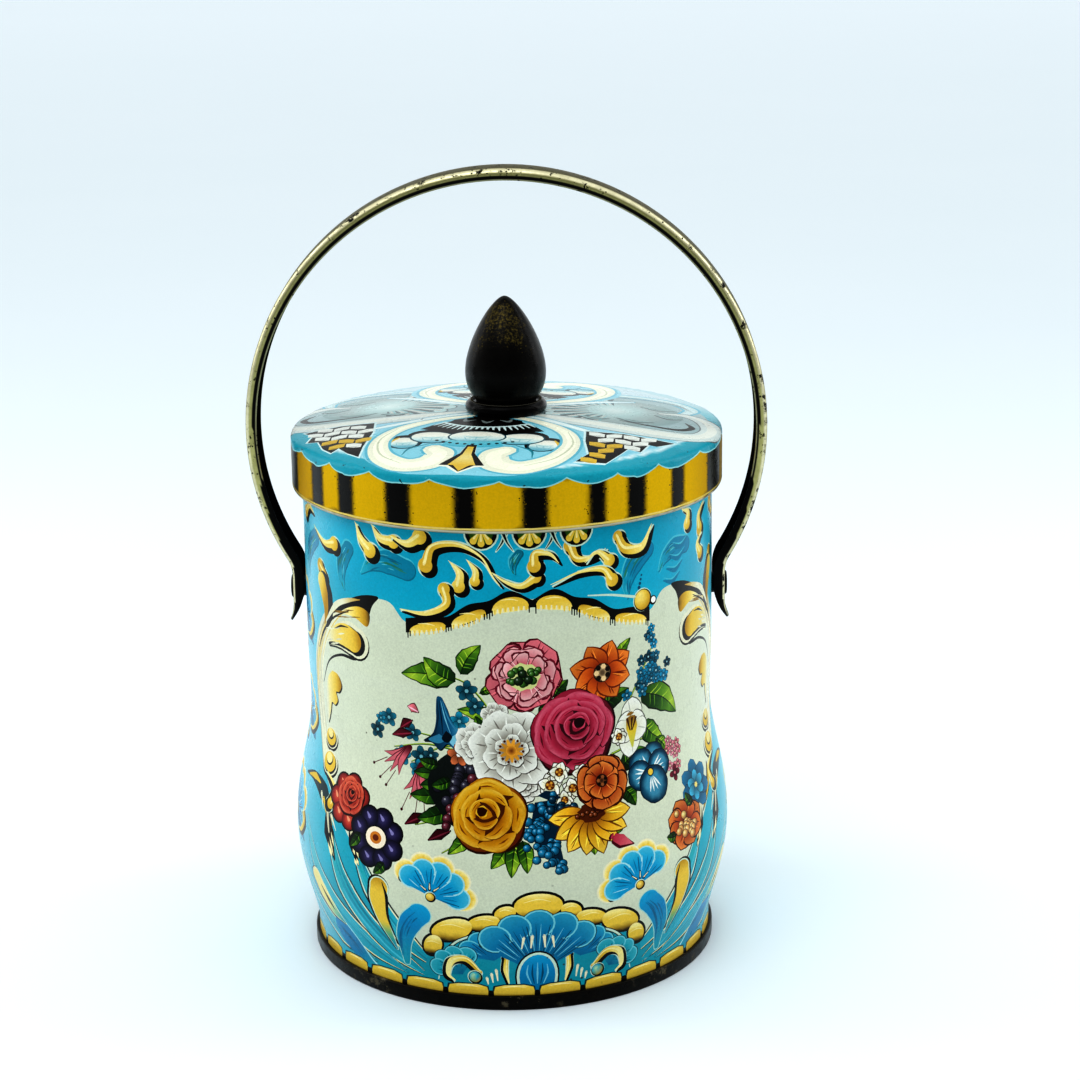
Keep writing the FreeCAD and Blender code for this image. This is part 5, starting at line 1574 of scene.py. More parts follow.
def band(s, points, widths, colour, n=7, line=0.7):
    """A pale ribbon with a dark hairline on both sides and a lighter core."""
    w = np.asarray(widths, float)
    s.add(ribbon(points, w + 2 * line, n), flat(rgb(96, 180, 200)))
    s.add(ribbon(points, w, n), flat(colour))
    s.add(ribbon(points, w * 0.5, n), flat(np.clip(colour * 1.06, 0, 1)))


MOTIF_HUB = np.array([-2.5, 0.0])       # where the lid's four motifs meet, a little left of the knob
MOTIF_STRETCH = 0.045                   # how much longer a motif gets towards the lid's edge


class Turned:
    """Passes shapes on to a sheet, turned into place. They are drawn with y pointing away from the knob."""

    def __init__(self, sheet, turn):
        t = math.radians(turn - 90)
        self.sheet = sheet
        self.matrix = np.array([[math.cos(t), math.sin(t)], [-math.sin(t), math.cos(t)]])

    def add(self, pts, paint):
        pts = np.array(pts, float)
        pts[:, 1] *= 1 + MOTIF_STRETCH * np.clip((pts[:, 1] - 20) / 20, 0, 1)
        self.sheet.add(pts @ self.matrix + MOTIF_HUB, lambda p: paint((p - MOTIF_HUB) @ self.matrix.T))


def star_comb(d):
    """Blue ground of the star motif, and the dark comb near the knob."""
    d.add(curve([(0, 3), (13, 8), (24, 17), (27.5, 28), (24, 40), (14, 48.5), (0, 49.5), (-14, 48.5),
                 (-24, 40), (-27.5, 28), (-24, 17), (-13, 8), (0, 3)], 6), flat(rgb(140, 204, 218)))
    d.add(np.array([(-7, 7), (-9, 12.5), (-12.6, 15.5), (-15.4, 19.2), (-9, 21.6), (0, 22.4), (9, 21.6),
                    (15.4, 19.2), (12.6, 15.5), (9, 12.5), (7, 7)]), flat(BLACK))
    for k in range(19):
        deg = 48 + 84 * k / 18
        d.add(ribbon([spot((0, 2), deg, 15.6), spot((0, 2), deg, 18.8)], [0.8, 0.35], 2),
              flat(rgb(206, 228, 226)))
    d.add(sector((0, 2), 15.0, 15.9, 46, 134, 16), flat(rgb(206, 228, 226)))
    for deg in (62, 90, 118):
        d.add(ribbon([spot((0, 2), deg - 9, 9.6), spot((0, 2), deg, 11.4), spot((0, 2), deg + 9, 9.6)],
                     [0.3, 1.5, 0.3], 5), flat(rgb(120, 132, 130)))


def star_lobes(d):
    """White and blue lobes under a black arch."""
    lobes = ((0, 25.2, 6.8, 3.9, 0), (10.8, 25.8, 5.6, 3.8, -16), (-10.8, 25.8, 5.6, 3.8, 16),
             (17.2, 29.4, 4.0, 3.2, -50), (-17.2, 29.4, 4.0, 3.2, 50))
    for x, y, rx, ry, a in lobes:
        d.add(blob((x, y - 0.7), rx + 1.2, ry + 1.2, a, 20), flat(BLACK))
    for x, y, rx, ry, a in lobes[::-1]:
        d.add(blob((x, y + 0.1), rx + 0.45, ry + 0.45, a, 20), flat(TEAL_DARK * 0.6))
        d.add(blob((x, y), rx, ry, a, 20), ramp((x, y - ry), (x, y + ry), [(0, rgb(214, 216, 204)),
                (0.4, rgb(232, 234, 220)), (0.75, rgb(196, 222, 220)), (1, rgb(110, 176, 190))]))
        d.add(ribbon([(x - 0.55 * rx, y - 0.1 * ry), (x, y + 0.15 * ry), (x + 0.55 * rx, y - 0.1 * ry)],
                     [0.2, 1.0, 0.2], 5), flat(rgb(168, 206, 206)))
        for q in (-0.5, 0.0, 0.5):
            d.add(ribbon([(x + rx * q * 0.9, y + ry * 0.1), (x + rx * q * 0.55, y + ry * 0.8)],
                         [0.15, 0.35, 0.1], 3), flat(rgb(140, 190, 198)))
    for x in (-20.6, 20.6):
        d.add(ribbon([(x * 0.93, 25.6), (x * 1.03, 29.6), (x * 0.95, 33.4)], [0.4, 1.7, 0.4], 5),
              flat(GOLD, 0.35))
    d.add(sector((0, 14), 14.9, 18.8, 66, 114, 12), radial((0, 14), 20, [(0.75, rgb(120, 196, 206)),
            (1, rgb(80, 176, 196))]))
    for k in range(11):
        deg = 60 + 6 * k
        d.add(blob(spot((0, 12), deg, 18.6), 0.5, n=7), flat(BLACK))


def star_scrolls(d):
    """Two ivory scrolls, and the gold star between them."""
    for sign in (1, -1):
        pts = [(sign * x, y) for x, y in ((5.0, 7.0), (13.5, 11.5), (20.8, 19.0), (23.4, 28.0),
                                          (21.0, 37.4), (14.6, 43.6), (8.4, 42.4), (6.6, 37.0),
                                          (8.8, 34.0))]
        band(d, pts, (2.2, 3.2, 3.8, 4.4, 5.6, 7.4, 8.2, 7.0, 5.2), rgb(230, 232, 210))
        d.add(ribbon([(x * 1.015, y - 0.9) for x, y in pts[2:6]], [0.2, 0.5, 0.5, 0.2], 6),
              flat(rgb(200, 206, 180)))
        d.add(ribbon([(sign * x, y) for x, y in ((10.6, 30.6), (14.8, 33.4), (15.8, 37.6))],
                     [0.3, 0.7, 0.2], 5), flat(TEAL * 0.75))
    star = [(-1.2, 31.0), (1.2, 31.0), (1.8, 36.4), (5.6, 43.6), (3.2, 43.8), (0, 47.6), (-3.2, 43.8),
            (-5.6, 43.6), (-1.8, 36.4)]
    d.add(np.array(star) * [1.10, 1.0] + [0, 1.0], flat(rgb(236, 238, 220)))
    d.add(np.array(star) * [0.98, 1.0] + [0, 0.1], flat(BLACK))
    d.add(np.array(star) * [0.60, 0.90] + [0, 4.4], ramp((0, 33), (0, 46),
            [(0, GOLD, 0.35), (0.6, GOLD_LIGHT, 0.35), (1, GOLD, 0.35)]))


def lid_fan(d, near):
    """A grey fan inside a loop of ribbon. near is 1, or -1 for its mirror image."""
    grey, milk = rgb(92, 108, 110), rgb(206, 220, 216)

    def at(*points):
        return [(near * x, y) for x, y in points]

    d.add(curve(at((0, 6), (6, 13), (10, 24), (13, 38), (12, 49), (2, 52), (-10, 50), (-22, 44),
                   (-28, 33), (-25, 20), (-12, 9), (0, 6)), 6), flat(rgb(160, 186, 188)))
    heart = at((-6.5, 29.0))[0]
    rim = [(199 + 14.4 * k, 15.0 + 1.6 * math.cos(math.radians(14.4 * k - 71))) for k in range(11)]
    for size, tone in ((2.5, grey), (2.1, rgb(190, 220, 218))):
        for deg, r in rim:
            d.add(blob(spot(heart, deg, r), size, n=12), flat(tone))
    d.add(blob(heart, 14.6, 15.4, n=30), radial(heart, 16, [(0, rgb(214, 232, 228)),
            (0.35, rgb(180, 210, 208)), (0.7, rgb(160, 178, 176)), (1, rgb(140, 168, 168))]))
    for deg, r in rim:
        for off, reach, wide, tone in ((-5, 0.93, 1.7, grey), (1, 1.0, 1.3, rgb(206, 212, 204)),
                                       (5, 0.9, 0.8, rgb(150, 196, 198))):
            d.add(ribbon([spot(heart, deg + off, 0.42 * r), spot(heart, deg + off, 0.7 * r),
                          spot(heart, deg + off, reach * r)], [0.2, 0.7 * wide, wide * 0.8], 3),
                  flat(tone))
    far = at((-4.0, 7.0), (-13.0, 11.0), (-22.0, 18.0), (-27.4, 28.0), (-26.0, 39.0), (-19.0, 45.0),
             (-12.0, 44.0))
    band(d, far, (2.0, 3.2, 3.8, 3.8, 3.8, 3.4, 2.0), rgb(190, 214, 214))
    for shift in (1.4, 3.0):
        d.add(ribbon([(x + near * shift, y + 0.3 * shift) for x, y in far[1:6]],
                     [0.1, 0.5, 0.6, 0.5, 0.1], 6), flat(grey))
    close = at((2.6, 7.0), (6.6, 17.0), (9.6, 29.0), (11.4, 41.0), (9.4, 49.6), (2.0, 52.2),
               (-6.4, 49.6), (-10.6, 44.6), (-9.0, 38.4))
    d.add(ribbon(close, [2.0, 6.4, 7.4, 7.6, 6.8, 6.0, 5.2, 4.0, 1.0], 8), flat(grey * 0.9 + 0.07))
    d.add(ribbon(close, [1.4, 5.6, 6.7, 6.9, 6.1, 5.3, 4.5, 3.2, 0.6], 8), flat(milk))
    d.add(ribbon([(x - near * 0.5, y) for x, y in close], [0.4, 2.4, 3.2, 3.4, 3.0, 2.4, 1.6, 0.8, 0.2],
                 8), flat(rgb(226, 232, 222)))
    # dark hooks and grey leaves inside the loop
    d.add(ribbon(at((3.2, 31.0), (5.0, 38.0), (5.2, 44.6), (1.6, 47.4), (-2.6, 45.4)),
                 [0.3, 1.0, 1.8, 1.8, 0.3], 6), flat(BLACK * 0.7 + grey * 0.3))
    for x, y, size in ((1.0, 34.0, 5.4), (2.2, 24.6, 4.6), (-6.4, 41.0, 4.2), (-14.6, 37.4, 5.0)):
        d.add(ribbon(at((x, y - size * 0.8), (x + 1.4, y), (x + 0.6, y + size * 0.8)), [0.4, 3.0, 0.6],
                     5), flat(grey))
        d.add(ribbon(at((x - 0.3, y - size * 0.7), (x + 0.9, y), (x + 0.2, y + size * 0.7)),
                     [0.3, 2.1, 0.4], 5), flat(rgb(158, 190, 188)))
        d.add(ribbon(at((x, y - size * 0.4), (x + 0.9, y), (x + 0.4, y + size * 0.4)), [0.1, 0.5, 0.1],
                     5), flat(grey * 0.8))


def paint_quarter(s, turn, kind, near=1):
    """One of the four motifs of the lid's top, drawn outwards along turn degrees."""
    d = Turned(s, turn)
    if kind == "star":
        star_comb(d)
        star_lobes(d)
        star_scrolls(d)
    else:
        lid_fan(d, near)
    # thin ribbons that run out from the knob between the motifs
    for sign in (1, -1):
        band(d, [(sign * x, y) for x, y in ((4.6, 4.4), (13.0, 8.0), (24.0, 15.2), (32.0, 19.6))],
             (1.0, 2.0, 2.2, 0.6), rgb(214, 230, 228), 7, 0.35)


def paint_weave(s, patch, gold_below, rng):
    """A patch of basket weave with a ragged lower edge, its lower cells gold."""
    across, down = 4.2, 3.9
    hull = np.array(patch, float)
    mid = hull.mean(axis=0)
    s.add(mid + (hull - mid) * 1.07 + [0, -0.3], flat(rgb(206, 232, 232)))
    s.add(hull, flat(BLACK))
    low, high = hull.min(axis=0), hull.max(axis=0)
    for row in range(int((high[1] - low[1]) / (0.85 * down)) + 1):
        for col in range(int((high[0] - low[0]) / across) + 1):
            x = low[0] + 1.0 + across * (col + 0.5 * (row % 2))
            y = high[1] - 1.6 - down * row - 0.12 * (x - low[0])
            corners = np.array([(x - 1.2, y - 1.2), (x + 1.2, y - 1.2), (x - 1.2, y + 1.0),
                                (x + 1.2, y + 1.0)])
            if winding(corners[:, 0], corners[:, 1], hull).sum() < 3:
                continue
            tone, metal = (GOLD, 0.35) if y < gold_below and rng.uniform() < 0.85 else (rgb(226, 232,
                    224), 0)
            lean = 0.55 if (row + col) % 2 else -0.55
            s.add(np.array([(x - 1.9, y - 1.25 + lean), (x - 0.1, y - 1.7), (x + 1.8, y - 1.35 - lean),
                            (x + 2.0, y + 1.2 - lean), (x + 0.2, y + 1.75), (x - 1.9, y + 1.3 + lean)]),
                  flat(tone, metal))
            s.add(ribbon([(x - 1.4, y - 0.9), (x, y - 1.2), (x + 1.5, y - 0.9)], [0.2, 0.6, 0.1], 3),
                  flat(np.clip(tone * 0.78, 0, 1), metal))


def top_ground(p):
    """Turquoise near the front edge, paler towards the middle, and painted pale towards the back as a painted
    sheen.
    """
    c = stops_at(np.linalg.norm(p, axis=1) / 54, [(0, rgb(176, 212, 222)), (0.76, rgb(152, 208, 224)),
                                                  (0.87, rgb(132, 202, 220)),
                                                  (0.885, rgb(214, 236, 238)),
                                                  (0.90, rgb(214, 236, 238)), (0.915, TEAL * 0.94),
                                                      (1.0, TEAL * 0.90)])
    # painted sheen: the back half of the top is painted pale
    pale = np.clip((p[:, 1] + 8) / 26, 0, 1)[:, None] * 0.84
    c[:, :3] = c[:, :3] * (1 - pale) + rgb(200, 216, 220) * pale
    return c


def draw_lid():
    s, rng = Sheet(), np.random.default_rng(5)
    # turquoise top that runs over the edge in scallops, one for each gold bay of the skirt
    bars = sorted(x for x, _ in BARS)
    edge, light_edge = [], []
    for a, b in zip(bars, bars[1:] + [bars[0] + TAU * LID_R]):
        for k in range(12):
            f = k / 12
            lobe = abs(math.cos(math.pi * f)) ** 0.75
            down = -0.55 + 1.75 * lobe + 0.16 * math.sin(9.0 * f + a)
            edge.append(ring_point(a + (b - a) * f, down))
            light_edge.append(ring_point(a + (b - a) * f, down + 0.34))
    # airbrushed grain along the bars
    for x, w in BARS:
        for _ in range(40):
            off = abs(rng.normal(0, 0.75)) + w / 2 - 0.1
            p = ring_point(x + (off if rng.uniform() < 0.5 else -off), rng.uniform(0.4, 11.2))
            s.add(blob(p, rng.uniform(0.10, 0.24), n=5), flat(BLACK))
        for _ in range(16):
            off = (rng.uniform(0.40, 0.56) * w + 0.2) * (1 if rng.uniform() < 0.5 else -1)
            s.add(blob(ring_point(x + off, rng.uniform(0.8, 11.2)), rng.uniform(0.10, 0.2), n=5),
                  flat(SKIRT_GOLD * 0.6, 1))
    # pale line just above the skirt's hem, a painted highlight along the worn edge
    line_top, line_low = SKIRT_END - SKIRT_START - 0.55, SKIRT_END - SKIRT_START - 0.1
    for k in range(60):
        a = TAU * LID_R * k / 60
        b = a + TAU * LID_R / 60
        s.add(np.array([ring_point(a, line_top), ring_point(b, line_top), ring_point(b, line_low),
                        ring_point(a, line_low)]),
              flat(rgb(226, 204, 120), 1))
    s.add(np.array(light_edge), flat(rgb(150, 212, 214)))
    s.add(np.array(edge), top_ground)
    paint_quarter(s, -8.8, "fan")
    paint_quarter(s, 171.2, "fan", -1)
    paint_quarter(s, 81.2, "star")
    paint_quarter(s, -98.8, "star")
    paint_weave(s, [(-50, -9), (-41, -6.6), (-32.6, -7), (-32.4, -16), (-34, -27), (-34.6, -34.6),
                    (-37.6, -31), (-40, -26.4), (-41.6, -29.4),
                    (-44, -25.4), (-45.6, -19), (-48.4, -18.4), (-47.4, -13)], -20, rng)
    paint_weave(s, [(20, -20), (29, -20.4), (41.4, -24.6), (37, -28.4), (35, -27.6), (33, -33.6),
                    (30, -32), (28, -36.4), (24.6, -43), (17.4, -42.6),
                    (20.6, -37), (19.8, -28)], -28, rng)
    # a few scuffs and chips along the rounded edge
    for _ in range(26):
        g = rng.uniform(0, TAU * LID_R)
        d = rng.uniform(-1.6, 0.9)
        n = rng.integers(2, 4)
        pts = [ring_point(g + rng.uniform(-0.2, 0.2) + 0.5 * k, d + rng.uniform(-0.3,
                0.5) * k) for k in range(n)]
        s.add(ribbon(pts, [0.1, rng.uniform(0.15, 0.5), 0.1], 3), flat(rgb(30, 50, 50)))
    return s


def lid_place(q):
    """Radius, height and normal (radial, up) of the lid's outside at flat distance q from the middle."""
    tilt = np.clip(q, 0, TOP_REACH) / DOME_R
    r, z = DOME_R * np.sin(tilt), LID_CROWN - DOME_R * (1 - np.cos(tilt))
    bend = np.clip((q - TOP_REACH) / LID_EDGE_R, 0, math.pi / 2 - EDGE_TILT)
    up = math.pi / 2 - EDGE_TILT - bend
    on_edge = q > TOP_REACH
    r = np.where(on_edge, LID_R - LID_EDGE_R + LID_EDGE_R * np.cos(up), r)
    z = np.where(on_edge, LID_EDGE_Z - LID_EDGE_R + LID_EDGE_R * np.sin(up), z)
    z = z - np.clip(q - SKIRT_START, 0, None)
    nr = np.where(on_edge, np.cos(up), np.sin(tilt))
    nz = np.where(on_edge, np.sin(up), np.cos(tilt))
    return r, z, nr, nz


# ---- body ---------------------------------------------------------------------------------------
def body_profile():
    """Dense (z, r) samples of the body's outside."""
    runs = [[(NECK_R, BODY_FOOT), (NECK_R, NECK_Z)],
            bezier((NECK_R, NECK_Z), (NECK_R, NECK_Z + 5.5), (BULGE_R, BULGE_Z - 12),
                   (BULGE_R, BULGE_Z), 60),
            bezier((BULGE_R, BULGE_Z), (BULGE_R, BULGE_Z + 14), (WAIST_R, WAIST_Z - 12),
                   (WAIST_R, WAIST_Z), 60),
            bezier((WAIST_R, WAIST_Z), (WAIST_R, WAIST_Z + 5), (BODY_R, SHOULDER_Z - 5),
                   (BODY_R, SHOULDER_Z), 30),
            [(BODY_R, BODY_TOP)]]
    return chain(*runs)


BODY_LINE = body_profile()


def body_radius(z):
    return np.interp(z, BODY_LINE[:, 1], BODY_LINE[:, 0])


def body_slope(z):
    return (body_radius(z + 0.4) - body_radius(z - 0.4)) / 0.8


def body_piece(sheet, ground, materials):
    """The body as one closed shell: the printed outside, the curled top edge, the inside and the foot."""
    top_z = BODY_TOP - BODY_CURL
    columns = 120
    us = np.linspace(-HALF_WIDE / 2, HALF_WIDE / 2, columns + 1)
    zs = np.linspace(BODY_FOOT, top_z, 100)
    outer = np.concatenate([np.stack([us, np.full(len(us), BODY_FOOT)], 1)[:-1],
                            np.stack([np.full(len(zs), us[-1]), zs], 1)[:-1],
                            np.stack([us[::-1], np.full(len(us), top_z)], 1)[:-1],
                            np.stack([np.full(len(zs), us[0]), zs[::-1]], 1)[:-1]])
    flat_pts, tris, ink = planar_map(sheet, outer, [], 1.6, ground)
    u, z = flat_pts[:, 0], flat_pts[:, 1]
    halves, normals = [], []
    for turn in (0, math.pi):
        a = -math.pi / 2 + u / PRINT_R + PANEL_TURN + turn
        r = body_radius(z)
        halves.append(np.stack([r * np.cos(a), r * np.sin(a), z], 1))
        n = np.stack([np.cos(a), np.sin(a), -body_slope(z)], 1)
        normals.append(n / np.linalg.norm(n, axis=1)[:, None])
    # rings of the unprinted part, on the columns of the printed part's upper edge
    angles = -math.pi / 2 + PANEL_TURN + np.concatenate([us[:-1], us[:-1] + HALF_WIDE]) / PRINT_R
    curl_c = (BODY_R - BODY_CURL, top_z)
    wall = np.linspace(SHOULDER_Z, NECK_Z, 22)
    inside = chain(arc_points(curl_c, BODY_CURL, 0, 235, 9), arc_points(curl_c, BODY_CURL - SHEET, 235,
            0, 7),
                   np.stack([body_radius(wall) - SHEET, wall], 1), [(NECK_R - SHEET, BODY_FOOT),
                           (NECK_R, BODY_FOOT)])
    ring_pts, ring_n = [], []
    tangent = np.gradient(inside, axis=0)
    for (r, zz), (tr, tz) in zip(inside, tangent):
        ring_pts.append(np.stack([r * np.cos(angles), r * np.sin(angles), np.full(len(angles), zz)], 1))
        n = np.stack([tz * np.cos(angles), tz * np.sin(angles), np.full(len(angles), -tr)], 1)
        ring_n.append(n / np.linalg.norm(n, axis=1)[:, None])
    count, wide = len(inside), len(angles)
    grid = np.arange(count * wide).reshape(count, wide) + 2 * len(flat_pts)
    low, high = grid[:-1], grid[1:]
    quads = np.stack([low, np.roll(low, -1, 1), np.roll(high, -1, 1), high], -1).reshape(-1, 4)
    points = np.concatenate(halves + ring_pts)
    all_normals = np.concatenate(normals + ring_n)
    faces = [tris, tris + len(flat_pts), quads]
    chart_half = np.stack([(u + HALF_WIDE / 2) / HALF_WIDE * 0.48 + 0.01, z / BODY_TOP * 0.75],
                          1)[tris].reshape(-1, 2)
    chart_rings = np.stack(np.broadcast_arrays(np.linspace(0.01, 0.99, wide)[None, :],
                                               np.linspace(0.80, 0.99, count)[:, None]), -1)
    ring_chart = chart_rings.reshape(-1, 2)[quads - 2 * len(flat_pts)].reshape(-1, 2)
    chart = np.concatenate([chart_half, chart_half + [0.5, 0], ring_chart])
    return weld(skin_mesh("body_wall", points, all_normals, faces, np.concatenate([ink, ink]), chart,
                          materials,
                          2 * len(tris)))


def weld(obj):
    """Joins the points that doubled where the shell's parts meet."""
    bm = bmesh.new()
    bm.from_mesh(obj.data)
    bmesh.ops.remove_doubles(bm, verts=bm.verts, dist=2e-6)
    bm.to_mesh(obj.data)
    bm.free()
    return obj


# ---- lid ----------------------------------------------------------------------------------------
def lid_piece(sheet, ground, materials):
    """The lid as one closed shell: printed outside, curled hem and plain inside."""
    columns = 256
    angles = np.arange(columns) / columns * TAU
    ring = np.stack([np.cos(angles), np.sin(angles)], 1)
    hole_ring = ring[::8]
    finer = [(q * math.cos(a), q * math.sin(a)) for q in np.arange(SKIRT_START + 0.7, SKIRT_END - 0.3, 1.35)
             for a in np.arange(0, TAU, 0.8 / LID_R)]
    flat_pts, tris, ink = planar_map(sheet, ring * SKIRT_END, [hole_ring * LID_HOLE_R], 1.6, ground, finer)
    q, a = np.linalg.norm(flat_pts, axis=1), np.arctan2(flat_pts[:, 1], flat_pts[:, 0])
    r, z, nr, nz = lid_place(q)
    points = [np.stack([r * np.cos(a), r * np.sin(a), z], 1)]
    normals = [np.stack([nr * np.cos(a), nr * np.sin(a), nz], 1)]
    hem_c = (LID_R - LID_HEM_R, LID_BOTTOM + LID_HEM_R)
    flat_r = np.array([45.0, 30.0, 15.0, 6.0])
    dome = np.stack([flat_r, LID_CROWN - DOME_R + np.sqrt(DOME_R ** 2 - flat_r ** 2) - SHEET], 1)
    corner = (LID_R - LID_EDGE_R, LID_EDGE_Z - LID_EDGE_R)
    inside = chain(arc_points(hem_c, LID_HEM_R, 0, -235, 9), arc_points(hem_c, LID_HEM_R - SHEET, -235,
            0, 7),
                   [(LID_R - SHEET, z0) for z0 in np.linspace(LID_BOTTOM + LID_HEM_R + 1,
                           corner[1] - 0.5, 4)],
                   arc_points(corner, LID_EDGE_R - SHEET, 0, 84, 5), dome,
                       [(LID_HOLE_R, LID_CROWN - SHEET)])
    tangent = np.gradient(inside, axis=0)
    rows = []
    total = len(flat_pts)
    for (rr, zz), (tr, tz) in zip(inside, tangent):
        circle = hole_ring if rr < LID_HOLE_R + 0.1 else ring
        rows.append(np.arange(total, total + len(circle)))
        total += len(circle)
        points.append(np.column_stack([rr * circle, np.full(len(circle), zz)]))
        n = np.array([-tz, tr]) / math.hypot(tr, tz)
        normals.append(np.column_stack([n[0] * circle, np.full(len(circle), n[1])]))
    # the hole's upper edge closes the shell
    top_hole = np.arange(total, total + len(hole_ring))
    hole_r, hole_z, _, _ = lid_place(np.full(len(hole_ring), LID_HOLE_R))
    points.append(np.column_stack([hole_ring * hole_r[:, None], hole_z]))
    normals.append(np.column_stack([-hole_ring, np.zeros(len(hole_ring))]))
    quads, extra = [], []
    for low, high in zip(rows, rows[1:]):
        if len(low) == len(high):
            quads.append(np.stack([low, np.roll(low, -1), np.roll(high, -1), high], 1))
        else:
            k = len(low) // len(high)
            for i in range(len(low)):
                extra.append((low[i], low[(i + 1) % len(low)], high[i // k]))
                if i % k == k - 1:
                    extra.append((low[(i + 1) % len(low)], high[(i // k + 1) % len(high)], high[i // k]))
    quads.append(np.stack([rows[-1], np.roll(rows[-1], -1), np.roll(top_hole, -1), top_hole], 1))
    quads = np.concatenate(quads)[:, ::-1]
    extra = np.array(extra)[:, ::-1]
    everything = np.concatenate(points)
    printed = (flat_pts / SKIRT_END * 0.47 + 0.5)[tris].reshape(-1, 2)
    plain_pts = np.concatenate([everything[quads].reshape(-1, 3), everything[extra].reshape(-1, 3)])
    chart = np.concatenate([printed, plain_pts[:, :2] / LID_R * 0.015 + 0.985])
    faces = [tris, quads, extra]
    return weld(skin_mesh("lid_shell_printed", everything, np.concatenate(normals), faces, ink, chart,
                          materials,
                          len(tris)))


# ---- base seam, knob, collar --------------------------------------------------------------------
def base_piece(material):
    """Double seam with its rolled rim, chuck wall and recessed panel with two pressed rings."""
    rim, high, edge, panel = 52.0, 3.6, 0.45, 2.6
    wall_in, chuck = NECK_R - SHEET, 50.5
    rings = []
    for r in (44.0, 39.0):
        for inwards, lift in ((0, 0), (0.5, 0.10), (1.2, 0.24), (2.0, 0.24), (2.7, 0.10), (3.2, 0)):
            rings.append((r - inwards, panel + lift))
    profile = chain([(0, panel)], rings[::-1], [(48.0, panel)],
                    arc_points((chuck - 2 * edge, panel - edge), edge, 90, 0, 6),
                    arc_points((chuck, edge), edge, 180, 270, 6), arc_points((rim - edge, edge), edge,
                            270, 360, 6),
                    arc_points((rim - edge, high - edge), edge, 0, 90, 6),
                        [(NECK_R, high), (NECK_R, 1.0), (wall_in, 1.0), (wall_in, panel + SHEET),
                         (0, panel + SHEET + 0.24)])
    return turned_piece("base_seam", profile, 256, material, 40)


def knob_piece(material):
    foot = LID_CROWN + 2.4
    profile = chain([(0, foot), (5.0, foot)], arc_points((7.2, foot + 0.4), 0.4, 270, 350, 4),
                    bezier((7.6, foot + 0.4), (8.3, foot + 1.7), (10.1, 145.2), (10.1, 149.2), 22),
                    bezier((10.1, 149.2), (10.1, 157.0), (3.0, KNOB_TOP), (0, KNOB_TOP), 46))
    profile[-1, 0] = 0
    return turned_piece("knob_turned", profile, 160, material, 50)


def collar_piece(material):
    """Spun cup with a rolled lip that the knob sits in."""
    seat, top, lip = LID_CROWN - 0.13, LID_CROWN + 2.9, 8.7
    profile = chain([(LID_HOLE_R, LID_CROWN + 0.02), (9.45, seat)],
                    bezier((9.45, seat), (10.55, seat + 0.5), (10.55, top - 0.4), (lip, top), 18),
                    arc_points((lip - 0.15, top - 0.15), 0.15, 90, 180, 4), [(lip - 0.3, top - 0.5),
                            (LID_HOLE_R, top - 0.5)])
    return turned_piece("knob_collar_spun", profile, 128, material, 40, closed=True)


# ---- bail ---------------------------------------------------------------------------------------
def bail_line():
    """Side view of the bail's outer face from tip to tip over the crown: points and outward normals."""
    arch_r, arch_z, ear_x, bend_r, flat_below, flare_r, tip_z = 65.1, 135.3, 54.75, 8.0, 3.1, 13.0, 85.2
    turn = math.degrees(math.acos((ear_x + bend_r) / (arch_r + bend_r)))
    bend_c = (ear_x + bend_r, arch_z - (arch_r + bend_r) * math.sin(math.radians(turn)))
    flat_end = PIVOT_Z - flat_below
    flare_turn = math.degrees(math.asin((flat_end - tip_z) / flare_r))
    crown = arc_points((0, arch_z), arch_r, 90, -turn, 110)
    crown_n = (crown - [0, arch_z]) / arch_r
    bend = arc_points(bend_c, bend_r, 180 - turn, 180, 12)[1:]
    bend_n = (np.array(bend_c) - bend) / bend_r
    straight = np.array([(ear_x, z) for z in np.linspace(bend_c[1], flat_end, 12)[1:]])
    straight_n = np.tile([1.0, 0.0], (len(straight), 1))
    flare_c = np.array([ear_x + flare_r, flat_end])
    flare = arc_points(flare_c, flare_r, 180, 180 + flare_turn, 22)[1:]
    flare_n = (flare_c - flare) / flare_r
    right = np.concatenate([crown, bend, straight, flare])
    right_n = np.concatenate([crown_n, bend_n, straight_n, flare_n])
    left, left_n = right[1:] * [-1, 1], right_n[1:] * [-1, 1]
    return np.concatenate([right[::-1], left]), np.concatenate([right_n[::-1], left_n])


